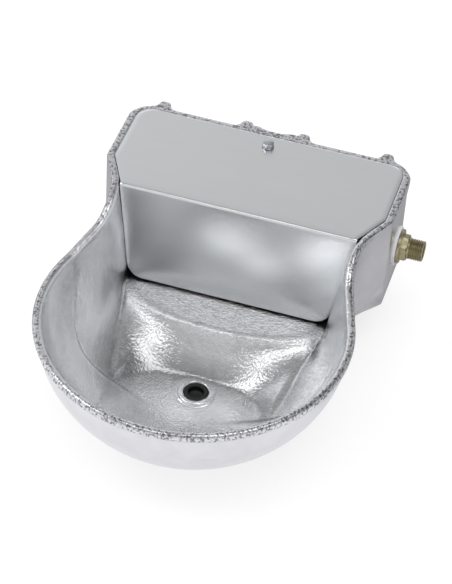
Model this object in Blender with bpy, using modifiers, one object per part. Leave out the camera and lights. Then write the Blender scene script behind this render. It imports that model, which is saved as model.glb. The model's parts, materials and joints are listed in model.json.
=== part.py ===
"""Livestock drinking bowl: a galvanised cast-iron basin with a float chamber behind it.

Metres, +Z up. The origin is on the wall plane, on the centre line, level with the basin's rim.
+Y points into the wall, -Y is the side the animal drinks from, and +X is the side of the water inlet.
"""
import math

import bmesh
import bpy
import numpy as np
from mathutils import Vector

MERGE = 0.00001
OVERRUN = 0.010
CLEAR = 0.0003

# Plan of the casting, front to back
RIB_REACH = 0.0105
BOX_SIDE_LEN = 0.086
NECK_RUN = 0.056
BOWL_RUN = 0.110
BOX_HALF = 0.1415
BOX_CORNER_R = 0.022
NECK_SET = 0.018
NECK_HALF = BOX_HALF - NECK_SET
NECK_R = 0.075
NECK_TIGHTEN_SHARE = 1.3
RIM_FLARE = 0.0065
RIM_R = BOX_HALF + RIM_FLARE
BACK_Y = -RIB_REACH
KINK_Y = BACK_Y - BOX_SIDE_LEN
NECK_Y = KINK_Y - NECK_RUN
BOWL_Y = NECK_Y - BOWL_RUN

# Heights and walls of the casting
CHAMBER_RISE = 0.025
BOWL_DEPTH = 0.126
BASIN_FLOOR_T = 0.010
BASIN_DEPTH = BOWL_DEPTH - BASIN_FLOOR_T
RIM_OVERHANG = 0.003
BOWL_WALL_R = RIM_R - RIM_OVERHANG
BASIN_WALL = 0.005
BASIN_R = BOWL_WALL_R - BASIN_WALL
TROUGH_SET = 0.012
TROUGH_DEPTH = BASIN_DEPTH - TROUGH_SET
TROUGH_ROUND_DEPTH = 0.070
TROUGH_ROUND = 0.032
WALL = 0.0075
WALL_DRAFT_SHARE = 0.02
NECK_DRAFT_SHARE = 0.135
OUTER_NECK_SET = 0.001
OUTER_NECK_DRAFT_SHARE = 0.08
BLEND_SINK = 0.001

# Rim: the bead round the basin, and the rise from the basin's rim to the chamber's
BEAD_R = 0.0044
BEAD_END_R = 0.0026
BEAD_SINK = 0.00025
RISE_FOOT_RUN = 0.070
RISE_WAIST_RUN = 0.014
RISE_TOP_RUN = 0.018
BEAD_FADE_RUN = 0.040
BEAD_TAIL_LEN = 0.008

# Ledge between the chamber and the basin
LEDGE_LIP_DEPTH = 0.077
LEDGE_FALL = 0.003
LEDGE_BACK_DEPTH = LEDGE_LIP_DEPTH - LEDGE_FALL
LEDGE_SIDE_LEN = 0.0225
LEDGE_HALF = NECK_HALF - LEDGE_SIDE_LEN
LEDGE_NOSE_LEN = 0.041
LEDGE_CURVE = 3.2
APRON_FOOT_LEN = 0.038
APRON_FOOT_SWEEP = 0.012
APRON_NARROW_SHARE = 0.78
APRON_SINK = 0.001
POCKET_SET = 0.004
POCKET_DROP = 0.0085
POCKET_SHARE = 0.74
POCKET_BACK_LEN = 0.020
BOX_FLOOR_T = 0.007
BOX_FLOOR_DEPTH = LEDGE_LIP_DEPTH + BOX_FLOOR_T

# Cheeks under the chamber's floor, which carry the two valleys beside the ledge
CHEEK_DROP = 0.012
CHEEK_DEPTH = BOX_FLOOR_DEPTH + CHEEK_DROP
CHEEK_OVERLAP = 0.014
CHEEK_TOP_DEPTH = BOX_FLOOR_DEPTH - CHEEK_OVERLAP
CHEEK_SET = 0.002
CHEEK_LEAN = 0.010
CHEEK_FOOT_LEN = 0.006
CHEEK_RUN = 0.012

# Drain
DRAIN_SET = 0.020
DRAIN_R = 0.012
DRAIN_FOOT_R = 0.011
DRAIN_RING_R = 0.0175
DRAIN_RING_RISE = 0.0035
DRAIN_RING_DEPTH = BASIN_DEPTH - DRAIN_RING_RISE
DRAIN_RING_ROOT = 0.0055
PLUG_RECESS_R = 0.0075
PLUG_RECESS_DEPTH = 0.007
PLUG_LEN = 0.0125
PLUG_LIP_R = 0.0008

# Ribs and fixing holes at the back
RIB_PLACES = (-0.114, -0.029, 0.029, 0.114)
RIB_R = 0.0058
RIB_CENTRE_SET = 0.005
RIB_ROOT = 0.004
RIB_FOOT_DEPTH = 0.068
RIB_FILLET_R = 0.008
SADDLE_R = 0.031
SADDLE_WEB = 0.001
FIXING_R = 0.00475
FIXING_DROP = 0.022

# Cover sheet
COVER_T = 0.0015
COVER_GAP = 0.0004
RIM_LAND = 0.0059
COVER_FOLD_SET = 0.0061
COVER_FOLD_HALF = NECK_HALF - COVER_FOLD_SET
COVER_FOLD_RUN = 0.0182
FOLD_R = 0.003
FLAP_LEAN = 0.017
FLAP_CLEAR = 0.0005
FLAP_DEPTH = LEDGE_BACK_DEPTH - FLAP_CLEAR
FLAP_TAPER = 0.0171
FLAP_FOOT_HALF = COVER_FOLD_HALF - FLAP_TAPER
FLAP_CORNER_R = 0.014

# Cover screw
COVER_SCREW_SET = 0.021
SCREW_R = 0.003
SCREW_LEN = 0.018
SCREW_HEAD_AF = 0.010
SCREW_HEAD_H = 0.004
WASHER_R = 0.006
WASHER_T = 0.0012
SCREW_BOSS_R = 0.008
SCREW_BOSS_H = 0.032
SCREW_BOSS_WEB = 0.012

# Inlet fitting, lengths along X from the chamber's outer face
INLET_SET = 0.052
INLET_DEPTH = 0.033
NIPPLE_R = 0.01048
NIPPLE_BORE_R = 0.0072
NIPPLE_CHAMFER = 0.001
NIPPLE_THREAD_LEN = 0.0153
NIPPLE_HEX_AF = 0.024
NIPPLE_HEX_LEN = 0.0066
NIPPLE_FLANGE_R = 0.017
NIPPLE_FLANGE_T = 0.0028
OUTER_WASHER_R = 0.0197
OUTER_WASHER_T = 0.0035
INLET_PAD_R = 0.019
INLET_PAD_DEPTH = 0.010
INNER_GASKET_R = 0.017
INNER_GASKET_T = 0.0028
LOCK_NUT_AF = 0.027
LOCK_NUT_T = 0.006

# Valve, lengths along X towards the middle of the chamber
BODY_R = 0.014
BODY_SOCKET_LEN = 0.0136
BODY_BARREL_LEN = 0.0164
NOZZLE_FLANGE_T = 0.003
NOZZLE_FLANGE_R = 0.0102
NOZZLE_TIP_R = 0.004
NOZZLE_TIP_LEN = 0.003
NOZZLE_HOLE_R = 0.002
BARREL_R = 0.0073
SEAL_R = 0.0052
SEAL_T = 0.0025
PISTON_R = 0.0070
PISTON_CUP_R = 0.0055
PISTON_CUP_SET = 0.001
PISTON_HEAD_LEN = 0.0094
PISTON_STEM_R = 0.004
PISTON_STEM_LEN = 0.0055
OUTLET_LEN = 0.0035
OUTLET_HALF = 0.004

# Lever, pin and float
PIVOT_DROP = 0.012
PIVOT_SET = 0.006
PIN_R = 0.002
PIN_HEAD_R = 0.0032
PIN_HEAD_T = 0.0012
PIN_TAIL = 0.002
CLIP_R = 0.004
CLIP_T = 0.001
LUG_T = 0.004
LUG_REACH = 0.006
LUG_FOOT = 0.006
LUG_ROOT = 0.0065
LUG_TOP = 0.005
LEVER_HALF = 0.006
LEVER_HUB_R = 0.005
FINGER_T = 0.005
FINGER_SET = 0.0045
FINGER_HALF = 0.005
FINGER_TOP = 0.005
LEVER_BOSS_R = 0.0045
LEVER_BOSS_LEN = 0.024
ADJUSTER_R = 0.0024
ADJUSTER_HEAD_AF = 0.007
ADJUSTER_HEAD_T = 0.003
ADJUSTER_STANDOFF = 0.004
ADJUSTER_NUT_AF = 0.008
ADJUSTER_NUT_T = 0.0025
ROD_R = 0.0025
ROD_GRIP = 0.006
ROD_NUT_AF = 0.008
ROD_NUT_T = 0.004
FLOAT_STANDOFF = 0.014
FLOAT_LEN = 0.078
FLOAT_WIDTH = 0.072
FLOAT_HEIGHT = 0.034
FLOAT_ROD_RISE = 0.008
FLOAT_EDGE_R = 0.006
ROD_TAIL = 0.004

# Facets
TURN_STEPS = 72
SMALL_STEPS = 24
TUNNEL_STEPS = 12
HEX_SIDES = 6
ARC_STEPS = 8
DOME_STEPS = 12
FRONT_STEPS = 40
RISE_STEPS = 16
LEDGE_STEPS = 24
TROUGH_LEVELS = 12
SHELL_LEVELS = 8
CHEEK_LEVELS = 4
FLOAT_EDGE_STEPS = 3
BEAD_RESOLUTION = 2
SHARP_DEGREES = 35

INLET_Y = BACK_Y - INLET_SET
SCREW_Y = BACK_Y - COVER_SCREW_SET
DRAIN_Y = BOWL_Y + DRAIN_SET
COVER_UNDER_Z = CHAMBER_RISE - COVER_T - CLEAR
AF_TO_R = 1 / (2 * math.cos(math.pi / HEX_SIDES))

FINISHES = {
    "galvanised_iron": ((0.60, 0.62, 0.64), 0.38, 0.9),
    "brushed_stainless": ((0.70, 0.72, 0.73), 0.30, 1.0),
    "zinc_steel": ((0.72, 0.73, 0.74), 0.25, 1.0),
    "brass": ((0.52, 0.46, 0.28), 0.30, 1.0),
    "nylon": ((0.84, 0.84, 0.88), 0.45, 0.0),
    "black_rubber": ((0.03, 0.035, 0.04), 0.60, 0.0),
    "acetal": ((0.80, 0.80, 0.78), 0.40, 0.0),
    "float_plastic": ((0.82, 0.45, 0.12), 0.50, 0.0),
}


def clear_scene():
    for item in list(bpy.data.objects):
        bpy.data.objects.remove(item, do_unlink=True)


def material(name):
    found = bpy.data.materials.get(name)
    if found:
        return found
    colour, roughness, metallic = FINISHES[name]
    made = bpy.data.materials.new(name)
    made.use_nodes = True
    shader = made.node_tree.nodes["Principled BSDF"]
    shader.inputs["Base Color"].default_value = (*colour, 1.0)
    shader.inputs["Roughness"].default_value = roughness
    shader.inputs["Metallic"].default_value = metallic
    return made


def place(name, mesh, finish=None, location=(0, 0, 0), rotation=(0, 0, 0)):
    """Puts a mesh in the scene: a piece with its finish, or a cutter or join body where finish is None."""
    item = bpy.data.objects.new(name, mesh)
    item.location = location
    item.rotation_euler = rotation
    if finish:
        bpy.data.collections["livestock_drinking_bowl"].objects.link(item)
        mesh.materials.clear()
        mesh.materials.append(material(finish))
    else:
        bpy.data.collections["cutters"].objects.link(item)
        item.hide_render = True
        item.display_type = "WIRE"
    return item


def mesh_from(name, work):
    bmesh.ops.recalc_face_normals(work, faces=work.faces)
    mesh = bpy.data.meshes.new(name)
    work.to_mesh(mesh)
    work.free()
    return mesh


def block(name, low, high, finish=None):
    """A box between two corners."""
    work = bmesh.new()
    bmesh.ops.create_cube(work, size=1)
    size = Vector(high) - Vector(low)
    bmesh.ops.scale(work, vec=size, verts=work.verts)
    return place(name, mesh_from(name, work), finish, (Vector(low) + Vector(high)) / 2)


def rod(name, radius, start, length, along="Z", finish=None, steps=SMALL_STEPS, end_radius=None):
    """A round bar, a cone or, with six steps, a hexagon, from its start face along X, Y or Z."""
    work = bmesh.new()
    tip = radius if end_radius is None else end_radius
    bmesh.ops.create_cone(work, cap_ends=True, segments=steps, radius1=radius, radius2=tip, depth=length)
    bmesh.ops.translate(work, vec=(0, 0, length / 2), verts=work.verts)
    item = place(name, mesh_from(name, work), finish, start, axis_turn(along))
    if finish and steps > HEX_SIDES:
        shade(item)
    return item


def axis_turn(along):
    return {"Z": (0, 0, 0), "X": (0, math.pi / 2, 0), "Y": (-math.pi / 2, 0, 0)}[along]


def turned(name, profile, location, along="Z", finish=None, steps=SMALL_STEPS):
    """A profile of (radius, height) points, from the top down its outer side, turned about its axis."""
    mesh = bpy.data.meshes.new(name)
    count = len(profile)
    edges = [(i, i + 1) for i in range(count - 1)]
    if profile[0][0] > 0:
        edges.append((count - 1, 0))
    mesh.from_pydata([(radius, 0, height) for radius, height in profile], edges, [])
    item = place(name, mesh, finish, location, axis_turn(along))
    turn = item.modifiers.new("turn", "SCREW")
    turn.axis = "Z"
    turn.angle = 2 * math.pi
    turn.steps = steps
    turn.render_steps = steps
    turn.use_merge_vertices = True
    turn.merge_threshold = MERGE
    turn.use_smooth_shade = True
    return item


def loft(name, sections, finish=None):
    """A closed body through sections with the same number of points, each a list of (x, y, z)."""
    work = bmesh.new()
    rings = [[work.verts.new(point) for point in section] for section in sections]
    count = len(rings[0])
    for lower, upper in zip(rings, rings[1:]):
        for i in range(count):
            j = (i + 1) % count
            work.faces.new((lower[i], lower[j], upper[j], upper[i]))
    work.faces.new(rings[0])
    work.faces.new(list(reversed(rings[-1])))
    return place(name, mesh_from(name, work), finish)


def flat_outline(name, outline, thickness, location=(0, 0, 0), rotation=(0, 0, 0)):
    """A flat outline of (x, y) points as a slab centred on its own plane, made a mesh so that it can cut."""
    curve = bpy.data.curves.new(name, "CURVE")
    curve.dimensions = "2D"
    curve.fill_mode = "BOTH"
    curve.extrude = thickness / 2
    spline = curve.splines.new("POLY")
    spline.points.add(len(outline) - 1)
    for point, (x, y) in zip(spline.points, outline):
        point.co = (x, y, 0, 1)
    spline.use_cyclic_u = True
    return curve_to_mesh(name, curve, location, rotation)


def curve_to_mesh(name, curve, location=(0, 0, 0), rotation=(0, 0, 0), finish=None):
    """Turns a curve into a welded mesh object and removes the curve."""
    source = bpy.data.objects.new(name + "_curve", curve)
    bpy.context.scene.collection.objects.link(source)
    source.location = location
    source.rotation_euler = rotation
    bpy.context.view_layer.update()
    graph = bpy.context.evaluated_depsgraph_get()
    mesh = bpy.data.meshes.new_from_object(source.evaluated_get(graph))
    work = bmesh.new()
    work.from_mesh(mesh)
    bmesh.ops.remove_doubles(work, verts=work.verts, dist=MERGE)
    bmesh.ops.recalc_face_normals(work, faces=work.faces)
    work.to_mesh(mesh)
    work.free()
    item = place(name, mesh, finish)
    item.matrix_world = source.matrix_world
    bpy.data.objects.remove(source, do_unlink=True)
    return item


def combine(target, operation, *tools):
    for tool in tools:
        step = target.modifiers.new(tool.name, "BOOLEAN")
        step.operation = operation
        step.solver = "EXACT"
        step.object = tool


def cut(target, *tools):
    combine(target, "DIFFERENCE", *tools)


def join(target, *tools):
    combine(target, "UNION", *tools)


def shade(item):
    item.data.shade_smooth()
    item.data.set_sharp_from_angle(angle=math.radians(SHARP_DEGREES))


def ring_profile(outer, inner, top, bottom):
    return [(outer, top), (outer, bottom), (inner, bottom), (inner, top)]


def arc(centre, radius, start, end, steps):
    """Points on a round arc in the plan, angles in radians."""
    angles = np.linspace(start, end, steps + 1)
    return [(centre[0] + radius * math.cos(a), centre[1] + radius * math.sin(a)) for a in angles]


def waist_arc(inset, lean):
    """Centre and radius of the waist's hollow arc; it tightens as the wall leans in below the rim."""
    radius = NECK_R + inset - NECK_TIGHTEN_SHARE * lean
    return (NECK_HALF - inset - lean + radius, NECK_Y), radius


def bowl_angle(front_r, inset, lean):
    """The angle on the basin's circle where the straight side leaves it for the waist."""
    centre, radius = waist_arc(inset, lean)
    reach = Vector(centre) - Vector((0, BOWL_Y))
    return math.atan2(reach.y, reach.x) - math.acos((front_r + radius) / reach.length)


def box_line(inset):
    """Right side of the chamber's plan: its front kink, its rear corner and the line to the middle of the back."""
    flare = math.atan2(BOX_HALF - NECK_HALF, NECK_RUN)
    kink = (BOX_HALF - inset, KINK_Y + inset * math.tan(flare / 2))
    corner = (BOX_HALF - BOX_CORNER_R, BACK_Y - BOX_CORNER_R)
    return [kink] + arc(corner, BOX_CORNER_R - inset, 0, math.pi / 2, ARC_STEPS)


def side_line(front_r, inset, lean):
    """Right side of the plan from the basin's circle, round the waist, to the middle of the back."""
    centre, radius = waist_arc(inset, lean)
    leave = bowl_angle(front_r, inset, lean)
    start = (front_r * math.cos(leave), BOWL_Y + front_r * math.sin(leave))
    box = box_line(inset)
    reach = Vector(box[0]) - Vector(centre)
    meet = math.atan2(reach.y, reach.x) + math.acos(radius / reach.length)
    return [start] + arc(centre, radius, math.pi + leave, meet, ARC_STEPS) + box


def whole_plan(half, z):
    """Closes a right half with its mirror image, at height z."""
    right = [(x, y, z) for x, y in half]
    left = [(-x, y, z) for x, y in reversed(half)]
    return right + left


def oval(radius, depth, z):
    """Radius at height z of a basin wall that is an ellipse in section."""
    return radius * math.sqrt(max(0, 1 - (min(z, 0) / depth) ** 2))


def basin_z(x, y):
    """Height of the inside of the basin above a place in the plan."""
    away = math.hypot(x, y - BOWL_Y) / BASIN_R
    return -BASIN_DEPTH * math.sqrt(1 - away ** 2)


def rise_points():
    """The rim's rise seen from the side: a cubic from the basin's rim up to the chamber's top."""
    foot = NECK_Y - RISE_FOOT_RUN
    waist = NECK_Y - RISE_WAIST_RUN
    top = NECK_Y + RISE_TOP_RUN
    t = np.linspace(0, 1, RISE_STEPS + 1)
    y = (1 - t) ** 3 * foot + 3 * t * (1 - t) * waist + t ** 3 * top
    z = CHAMBER_RISE * (3 * (1 - t) * t ** 2 + t ** 3)
    return y, z


def rim_z(y):
    ys, zs = rise_points()
    return float(np.interp(y, ys, zs))


def fade(y):
    """1 beside the basin, falling to 0 where the bead has run into the chamber's wall."""
    return float(np.interp(y, (NECK_Y - RISE_WAIST_RUN, NECK_Y + BEAD_FADE_RUN), (1, 0)))


def bead_r(y):
    return BEAD_END_R + (BEAD_R - BEAD_END_R) * fade(y)


def dome_profile(radius, depth, top):
    """Profile of a solid bowl shape, its wall an ellipse below z = 0."""
    angles = np.linspace(0, math.pi / 2, DOME_STEPS + 1)
    wall = [(radius * math.cos(a), -depth * math.sin(a)) for a in angles]
    wall[-1] = (0, -depth)
    return [(0, top), (radius, top)] + wall


def make_bead():
    """The rounded bead along the rim, swept from one box corner round the basin to the other."""
    def track(inset):
        front_r = RIM_R - inset
        leave = bowl_angle(front_r, inset, 0)
        front = arc((0, BOWL_Y), front_r, -math.pi / 2, leave, FRONT_STEPS)
        return front + side_line(front_r, inset, 0)[1:ARC_STEPS + 3]

    wide = track(BEAD_R + BEAD_SINK)
    slim = track(BEAD_END_R + BEAD_SINK)
    half = []
    for outer, inner in zip(wide, slim):
        share = fade(outer[1])
        half.append((share * outer[0] + (1 - share) * inner[0], share * outer[1] + (1 - share) * inner[1]))
    half.append((half[-1][0], half[-1][1] + BEAD_TAIL_LEN))
    route = [(-x, y) for x, y in reversed(half[1:])] + half
    curve = bpy.data.curves.new("rim_bead", "CURVE")
    curve.dimensions = "3D"
    curve.bevel_depth = BEAD_R
    curve.bevel_resolution = BEAD_RESOLUTION
    curve.use_fill_caps = True
    spline = curve.splines.new("POLY")
    spline.points.add(len(route) - 1)
    for point, (x, y) in zip(spline.points, route):
        radius = bead_r(y)
        point.co = (x, y, rim_z(y) - radius - BEAD_SINK, 1)
        point.radius = radius / BEAD_R
    return curve_to_mesh("rim_bead", curve)


def top_profile():
    """Everything above the rim's line, as a slab seen from the side."""
    ys, _ = rise_points()
    line = [(y, rim_z(y) - (bead_r(y) + BEAD_SINK) * fade(y)) for y in ys]
    bowl_front = BOWL_Y - RIM_R - OVERRUN
    flat_from = NECK_Y + BEAD_FADE_RUN
    high = CHAMBER_RISE + 3 * OVERRUN
    outline = [(bowl_front, line[0][1])] + line + [(flat_from, CHAMBER_RISE), (OVERRUN, CHAMBER_RISE)]
    outline += [(OVERRUN, high), (bowl_front, high)]
    width = 2 * (RIM_R + OVERRUN)
    return flat_outline("top_profile", outline, width, rotation=(math.pi / 2, 0, math.pi / 2))


def ledge_loft(name, share, set_back, drop, back_y, foot_z):
    """The sloping floor under the flap and the apron that falls from its curved lip to the basin's floor."""
    def section(x, lip_y, foot):
        slope = (LEDGE_LIP_DEPTH - LEDGE_BACK_DEPTH) / (BACK_Y - lip_y)
        back_z = -LEDGE_LIP_DEPTH + slope * (back_y - lip_y)
        foot_x, foot_y, apron_z = foot
        back = (x, back_y, back_z - drop)
        lip = (x, lip_y + set_back, -LEDGE_LIP_DEPTH - drop)
        apron_foot = (foot_x, foot_y + set_back, apron_z - drop)
        return [back, lip, apron_foot, (foot_x, foot_y + set_back, foot_z), (x, back_y, foot_z)]

    root_y = NECK_Y
    sections = []
    for s in np.sin(np.linspace(-math.pi / 2, math.pi / 2, LEDGE_STEPS + 1)):
        x = LEDGE_HALF * s * share
        bulge = max(0, 1 - abs(s * share) ** LEDGE_CURVE) ** (1 / LEDGE_CURVE)
        foot_x = x * APRON_NARROW_SHARE
        foot_y = BOWL_Y + APRON_FOOT_LEN - APRON_FOOT_SWEEP * (s * share) ** 2
        foot = (foot_x, foot_y, basin_z(foot_x, foot_y) - APRON_SINK)
        sections.append(section(x, root_y - LEDGE_NOSE_LEN * bulge, foot))
    if share == 1:
        edge = BOX_HALF + OVERRUN
        ends = [section(x, root_y, (x, root_y - CLEAR, -LEDGE_LIP_DEPTH - CLEAR)) for x in (-edge, edge)]
        sections = [ends[0]] + sections + [ends[1]]
    return loft(name, sections)


def trough_lean(z):
    """How far the waist's inner walls lean in at height z; low down they round in towards the trough's floor."""
    low = max(0, -z - TROUGH_ROUND_DEPTH) / (TROUGH_DEPTH - TROUGH_ROUND_DEPTH)
    return NECK_DRAFT_SHARE * max(0, CHAMBER_RISE - z) + TROUGH_ROUND * low ** 2


def make_cavity():
    """Inside of the casting: the basin, and the trough that carries its sides back into the chamber."""
    levels = np.linspace(-TROUGH_DEPTH, CHAMBER_RISE, TROUGH_LEVELS)
    levels = np.append(levels, CHAMBER_RISE + 2 * OVERRUN)
    sections = []
    for z in levels:
        inset = WALL + WALL_DRAFT_SHARE * max(0, CHAMBER_RISE - z)
        front_r = oval(BASIN_R, BASIN_DEPTH, z) - BLEND_SINK
        sections.append(whole_plan(side_line(front_r, inset, trough_lean(z)), z))
    trough = loft("trough", sections)
    dome = dome_profile(BASIN_R, BASIN_DEPTH, CHAMBER_RISE + 2 * OVERRUN)
    basin = turned("basin", dome, (0, BOWL_Y, 0), steps=TURN_STEPS)
    ledge = ledge_loft("ledge", 1, 0, 0, OVERRUN, -BOWL_DEPTH - OVERRUN)
    join(trough, basin)
    cut(trough, ledge)
    return trough


def make_box_shell():
    """Outside of the chamber and of the waist that joins it to the basin."""
    levels = np.linspace(-BOX_FLOOR_DEPTH, 0, SHELL_LEVELS)
    levels = np.append(levels, CHAMBER_RISE + OVERRUN)
    sections = []
    for z in levels:
        front_r = oval(BOWL_WALL_R, BOWL_DEPTH, z) - BLEND_SINK
        sections.append(whole_plan(side_line(front_r, 0, shell_lean(z)), z))
    return loft("box_shell", sections)


def shell_lean(z):
    return OUTER_NECK_SET + OUTER_NECK_DRAFT_SHARE * max(0, CHAMBER_RISE - z)


def make_cheeks():
    """The part of the waist that hangs below the chamber's floor, sloping up to it at the back."""
    sections = []
    for z in np.linspace(-CHEEK_DEPTH, -CHEEK_TOP_DEPTH, CHEEK_LEVELS):
        low = max(0, -z - BOX_FLOOR_DEPTH) / (CHEEK_DEPTH - BOX_FLOOR_DEPTH)
        lean = shell_lean(z) + CHEEK_SET + CHEEK_LEAN * low
        front_r = oval(BOWL_WALL_R, BOWL_DEPTH, z) - BLEND_SINK
        half = side_line(front_r, 0, lean)[:2]
        half.append((half[1][0], NECK_Y + CHEEK_FOOT_LEN + CHEEK_RUN * (1 - low)))
        sections.append(whole_plan(half, z))
    return loft("cheeks", sections)


def rib_line(x):
    """Plan of one rib: a round nose on hollow fillets that run out on the chamber's back."""
    side = x + RIB_R
    nose = arc((x, -RIB_CENTRE_SET), RIB_R, 0, math.pi, ARC_STEPS)
    centre_y = BACK_Y + RIB_FILLET_R
    right = arc((side + RIB_FILLET_R, centre_y), RIB_FILLET_R, -math.pi / 2, -math.pi, ARC_STEPS // 2)
    left = [(2 * x - px, py) for px, py in reversed(right)]
    root_y = BACK_Y - RIB_ROOT
    return [(right[0][0], root_y)] + right + nose + left + [(left[-1][0], root_y)]


def make_ribs(casting):
    """Four upright ribs that stand the casting off the wall, and the saddle for a post between the middle two."""
    top = CHAMBER_RISE - CLEAR
    for number, x in enumerate(RIB_PLACES, 1):
        line = rib_line(x)
        join(casting, loft(f"rib_{number}", [[(px, py, z) for px, py in line] for z in (-RIB_FOOT_DEPTH, top)]))
    half = RIB_PLACES[2] - RIB_R / 2
    saddle_foot = -RIB_FOOT_DEPTH + CLEAR
    web = block("saddle_web", (-half, BACK_Y - RIB_ROOT, saddle_foot), (half, -RIB_CENTRE_SET, top - CLEAR))
    post_y = BACK_Y + SADDLE_WEB + SADDLE_R
    span = CHAMBER_RISE + RIB_FOOT_DEPTH + 2 * OVERRUN
    cut(web, rod("saddle_post", SADDLE_R, (0, post_y, -RIB_FOOT_DEPTH - OVERRUN), span, steps=TURN_STEPS))
    join(casting, web)
    wide = BOX_HALF + OVERRUN
    wall_plane = block("wall_plane", (-wide, 0, -BOWL_DEPTH), (wide, OVERRUN, CHAMBER_RISE + OVERRUN))
    cut(casting, wall_plane)
    hole_z = CHAMBER_RISE - FIXING_DROP
    length = RIB_REACH + WALL + 2 * OVERRUN
    for number, x in enumerate(RIB_PLACES[1:3], 1):
        cut(casting, rod(f"fixing_hole_{number}", FIXING_R, (x, OVERRUN - length, hole_z), length, "Y"))


def make_casting():
    name = "bowl_casting"
    dome = dome_profile(BOWL_WALL_R, BOWL_DEPTH, CHAMBER_RISE + OVERRUN)
    casting = turned(name, dome, (0, BOWL_Y, 0), finish="galvanised_iron", steps=TURN_STEPS)
    join(casting, make_box_shell(), make_cheeks())
    cut(casting, make_cavity(), top_profile())
    join(casting, make_bead())

    ring_foot = -DRAIN_RING_DEPTH - DRAIN_RING_ROOT
    join(casting, rod("drain_ring", DRAIN_RING_R, (0, DRAIN_Y, ring_foot), DRAIN_RING_ROOT))
    boss_foot = COVER_UNDER_Z - SCREW_BOSS_H
    join(casting, rod("screw_boss", SCREW_BOSS_R, (0, SCREW_Y, boss_foot), SCREW_BOSS_H))
    half_web = SCREW_BOSS_WEB / 2
    web_low = (-half_web, SCREW_Y, boss_foot + CLEAR)
    join(casting, block("screw_boss_web", web_low, (half_web, BACK_Y - WALL / 2, COVER_UNDER_Z - CLEAR)))
    pad_start = (BOX_HALF - INLET_PAD_DEPTH, INLET_Y, -INLET_DEPTH)
    join(casting, rod("inlet_pad", INLET_PAD_R, pad_start, INLET_PAD_DEPTH - WALL / 2, "X"))
    make_ribs(casting)

    pocket_back = NECK_Y + POCKET_BACK_LEN
    pocket = ledge_loft("under_pocket", POCKET_SHARE, POCKET_SET, POCKET_DROP, pocket_back, -BOWL_DEPTH - OVERRUN)
    rebate = loft("cover_rebate", [whole_plan(cover_half(0), z) for z in (COVER_UNDER_Z, CHAMBER_RISE + OVERRUN)])
    drain_len = BOWL_DEPTH - DRAIN_RING_DEPTH + 2 * OVERRUN
    taper = (DRAIN_R - DRAIN_FOOT_R) / PLUG_LEN
    drain_start = -DRAIN_RING_DEPTH + OVERRUN - drain_len
    drain = rod("drain_hole", DRAIN_R - taper * (drain_len - OVERRUN), (0, DRAIN_Y, drain_start), drain_len,
                end_radius=DRAIN_R + taper * OVERRUN)
    tap_len = SCREW_LEN + CLEAR
    tap = rod("screw_tap", SCREW_R + CLEAR, (0, SCREW_Y, CHAMBER_RISE - tap_len), tap_len + OVERRUN)
    hole_start = (BOX_HALF - INLET_PAD_DEPTH - OVERRUN, INLET_Y, -INLET_DEPTH)
    inlet_hole = rod("inlet_hole", NIPPLE_R + CLEAR, hole_start, INLET_PAD_DEPTH + 2 * OVERRUN, "X")
    cut(casting, pocket, rebate, drain, tap, inlet_hole)


def cover_half(gap):
    """Right half of the cover's outline: fold end, box kink, rear corner."""
    return [(COVER_FOLD_HALF - gap, fold_y())] + box_line(RIM_LAND + gap)


def fold_y():
    """Where the flat of the cover ends and its fold starts."""
    return NECK_Y + COVER_FOLD_RUN + FOLD_R


def make_cover():
    """The lid sheet: a flat top and a flap folded down at its front, leaning towards the basin."""
    name = "chamber_cover"
    work = bmesh.new()
    half = cover_half(COVER_GAP)
    fold_half = half[0][0]
    top = [work.verts.new(point) for point in whole_plan(half, CHAMBER_RISE)]
    drop = CHAMBER_RISE + FLAP_DEPTH - FOLD_R
    lean = math.atan2(FLAP_LEAN, drop)
    row = (top[0], top[-1])
    centre = (fold_y(), CHAMBER_RISE - FOLD_R)
    for y, z in arc(centre, FOLD_R, math.pi / 2, math.pi - lean, ARC_STEPS // 2)[1:]:
        lower = (work.verts.new((fold_half, y, z)), work.verts.new((-fold_half, y, z)))
        work.faces.new((row[0], row[1], lower[1], lower[0]))
        row = lower
    start_y, start_z = row[0].co.y, row[0].co.z
    length = (start_z + FLAP_DEPTH) / math.cos(lean)

    def on_flap(x, along):
        return work.verts.new((x, start_y - along * math.sin(lean), start_z - along * math.cos(lean)))

    taper = math.atan2(fold_half - FLAP_FOOT_HALF, length)
    corner_x = FLAP_FOOT_HALF - FLAP_CORNER_R * math.tan((math.pi / 2 - taper) / 2)
    corner_x += FLAP_CORNER_R * (1 - math.cos(taper)) * math.tan(taper)
    round_corner = arc((corner_x, length - FLAP_CORNER_R), FLAP_CORNER_R, -taper, math.pi / 2, ARC_STEPS)
    right = [on_flap(x, along) for x, along in round_corner]
    left = [on_flap(-x, along) for x, along in reversed(round_corner)]
    work.faces.new([row[0], row[1]] + list(reversed(left)) + list(reversed(right)))
    work.faces.new(top)
    mesh = mesh_from(name, work)
    cover = place(name, mesh, "brushed_stainless")
    if mesh.polygons[len(mesh.polygons) - 1].normal.z < 0:
        mesh.flip_normals()
    sheet = cover.modifiers.new("sheet", "SOLIDIFY")
    sheet.thickness = COVER_T
    sheet.offset = -1
    sheet.use_even_offset = True
    hole_start = (0, SCREW_Y, CHAMBER_RISE - COVER_T - OVERRUN)
    cut(cover, rod("cover_hole", SCREW_R + CLEAR, hole_start, COVER_T + 2 * OVERRUN))


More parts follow.
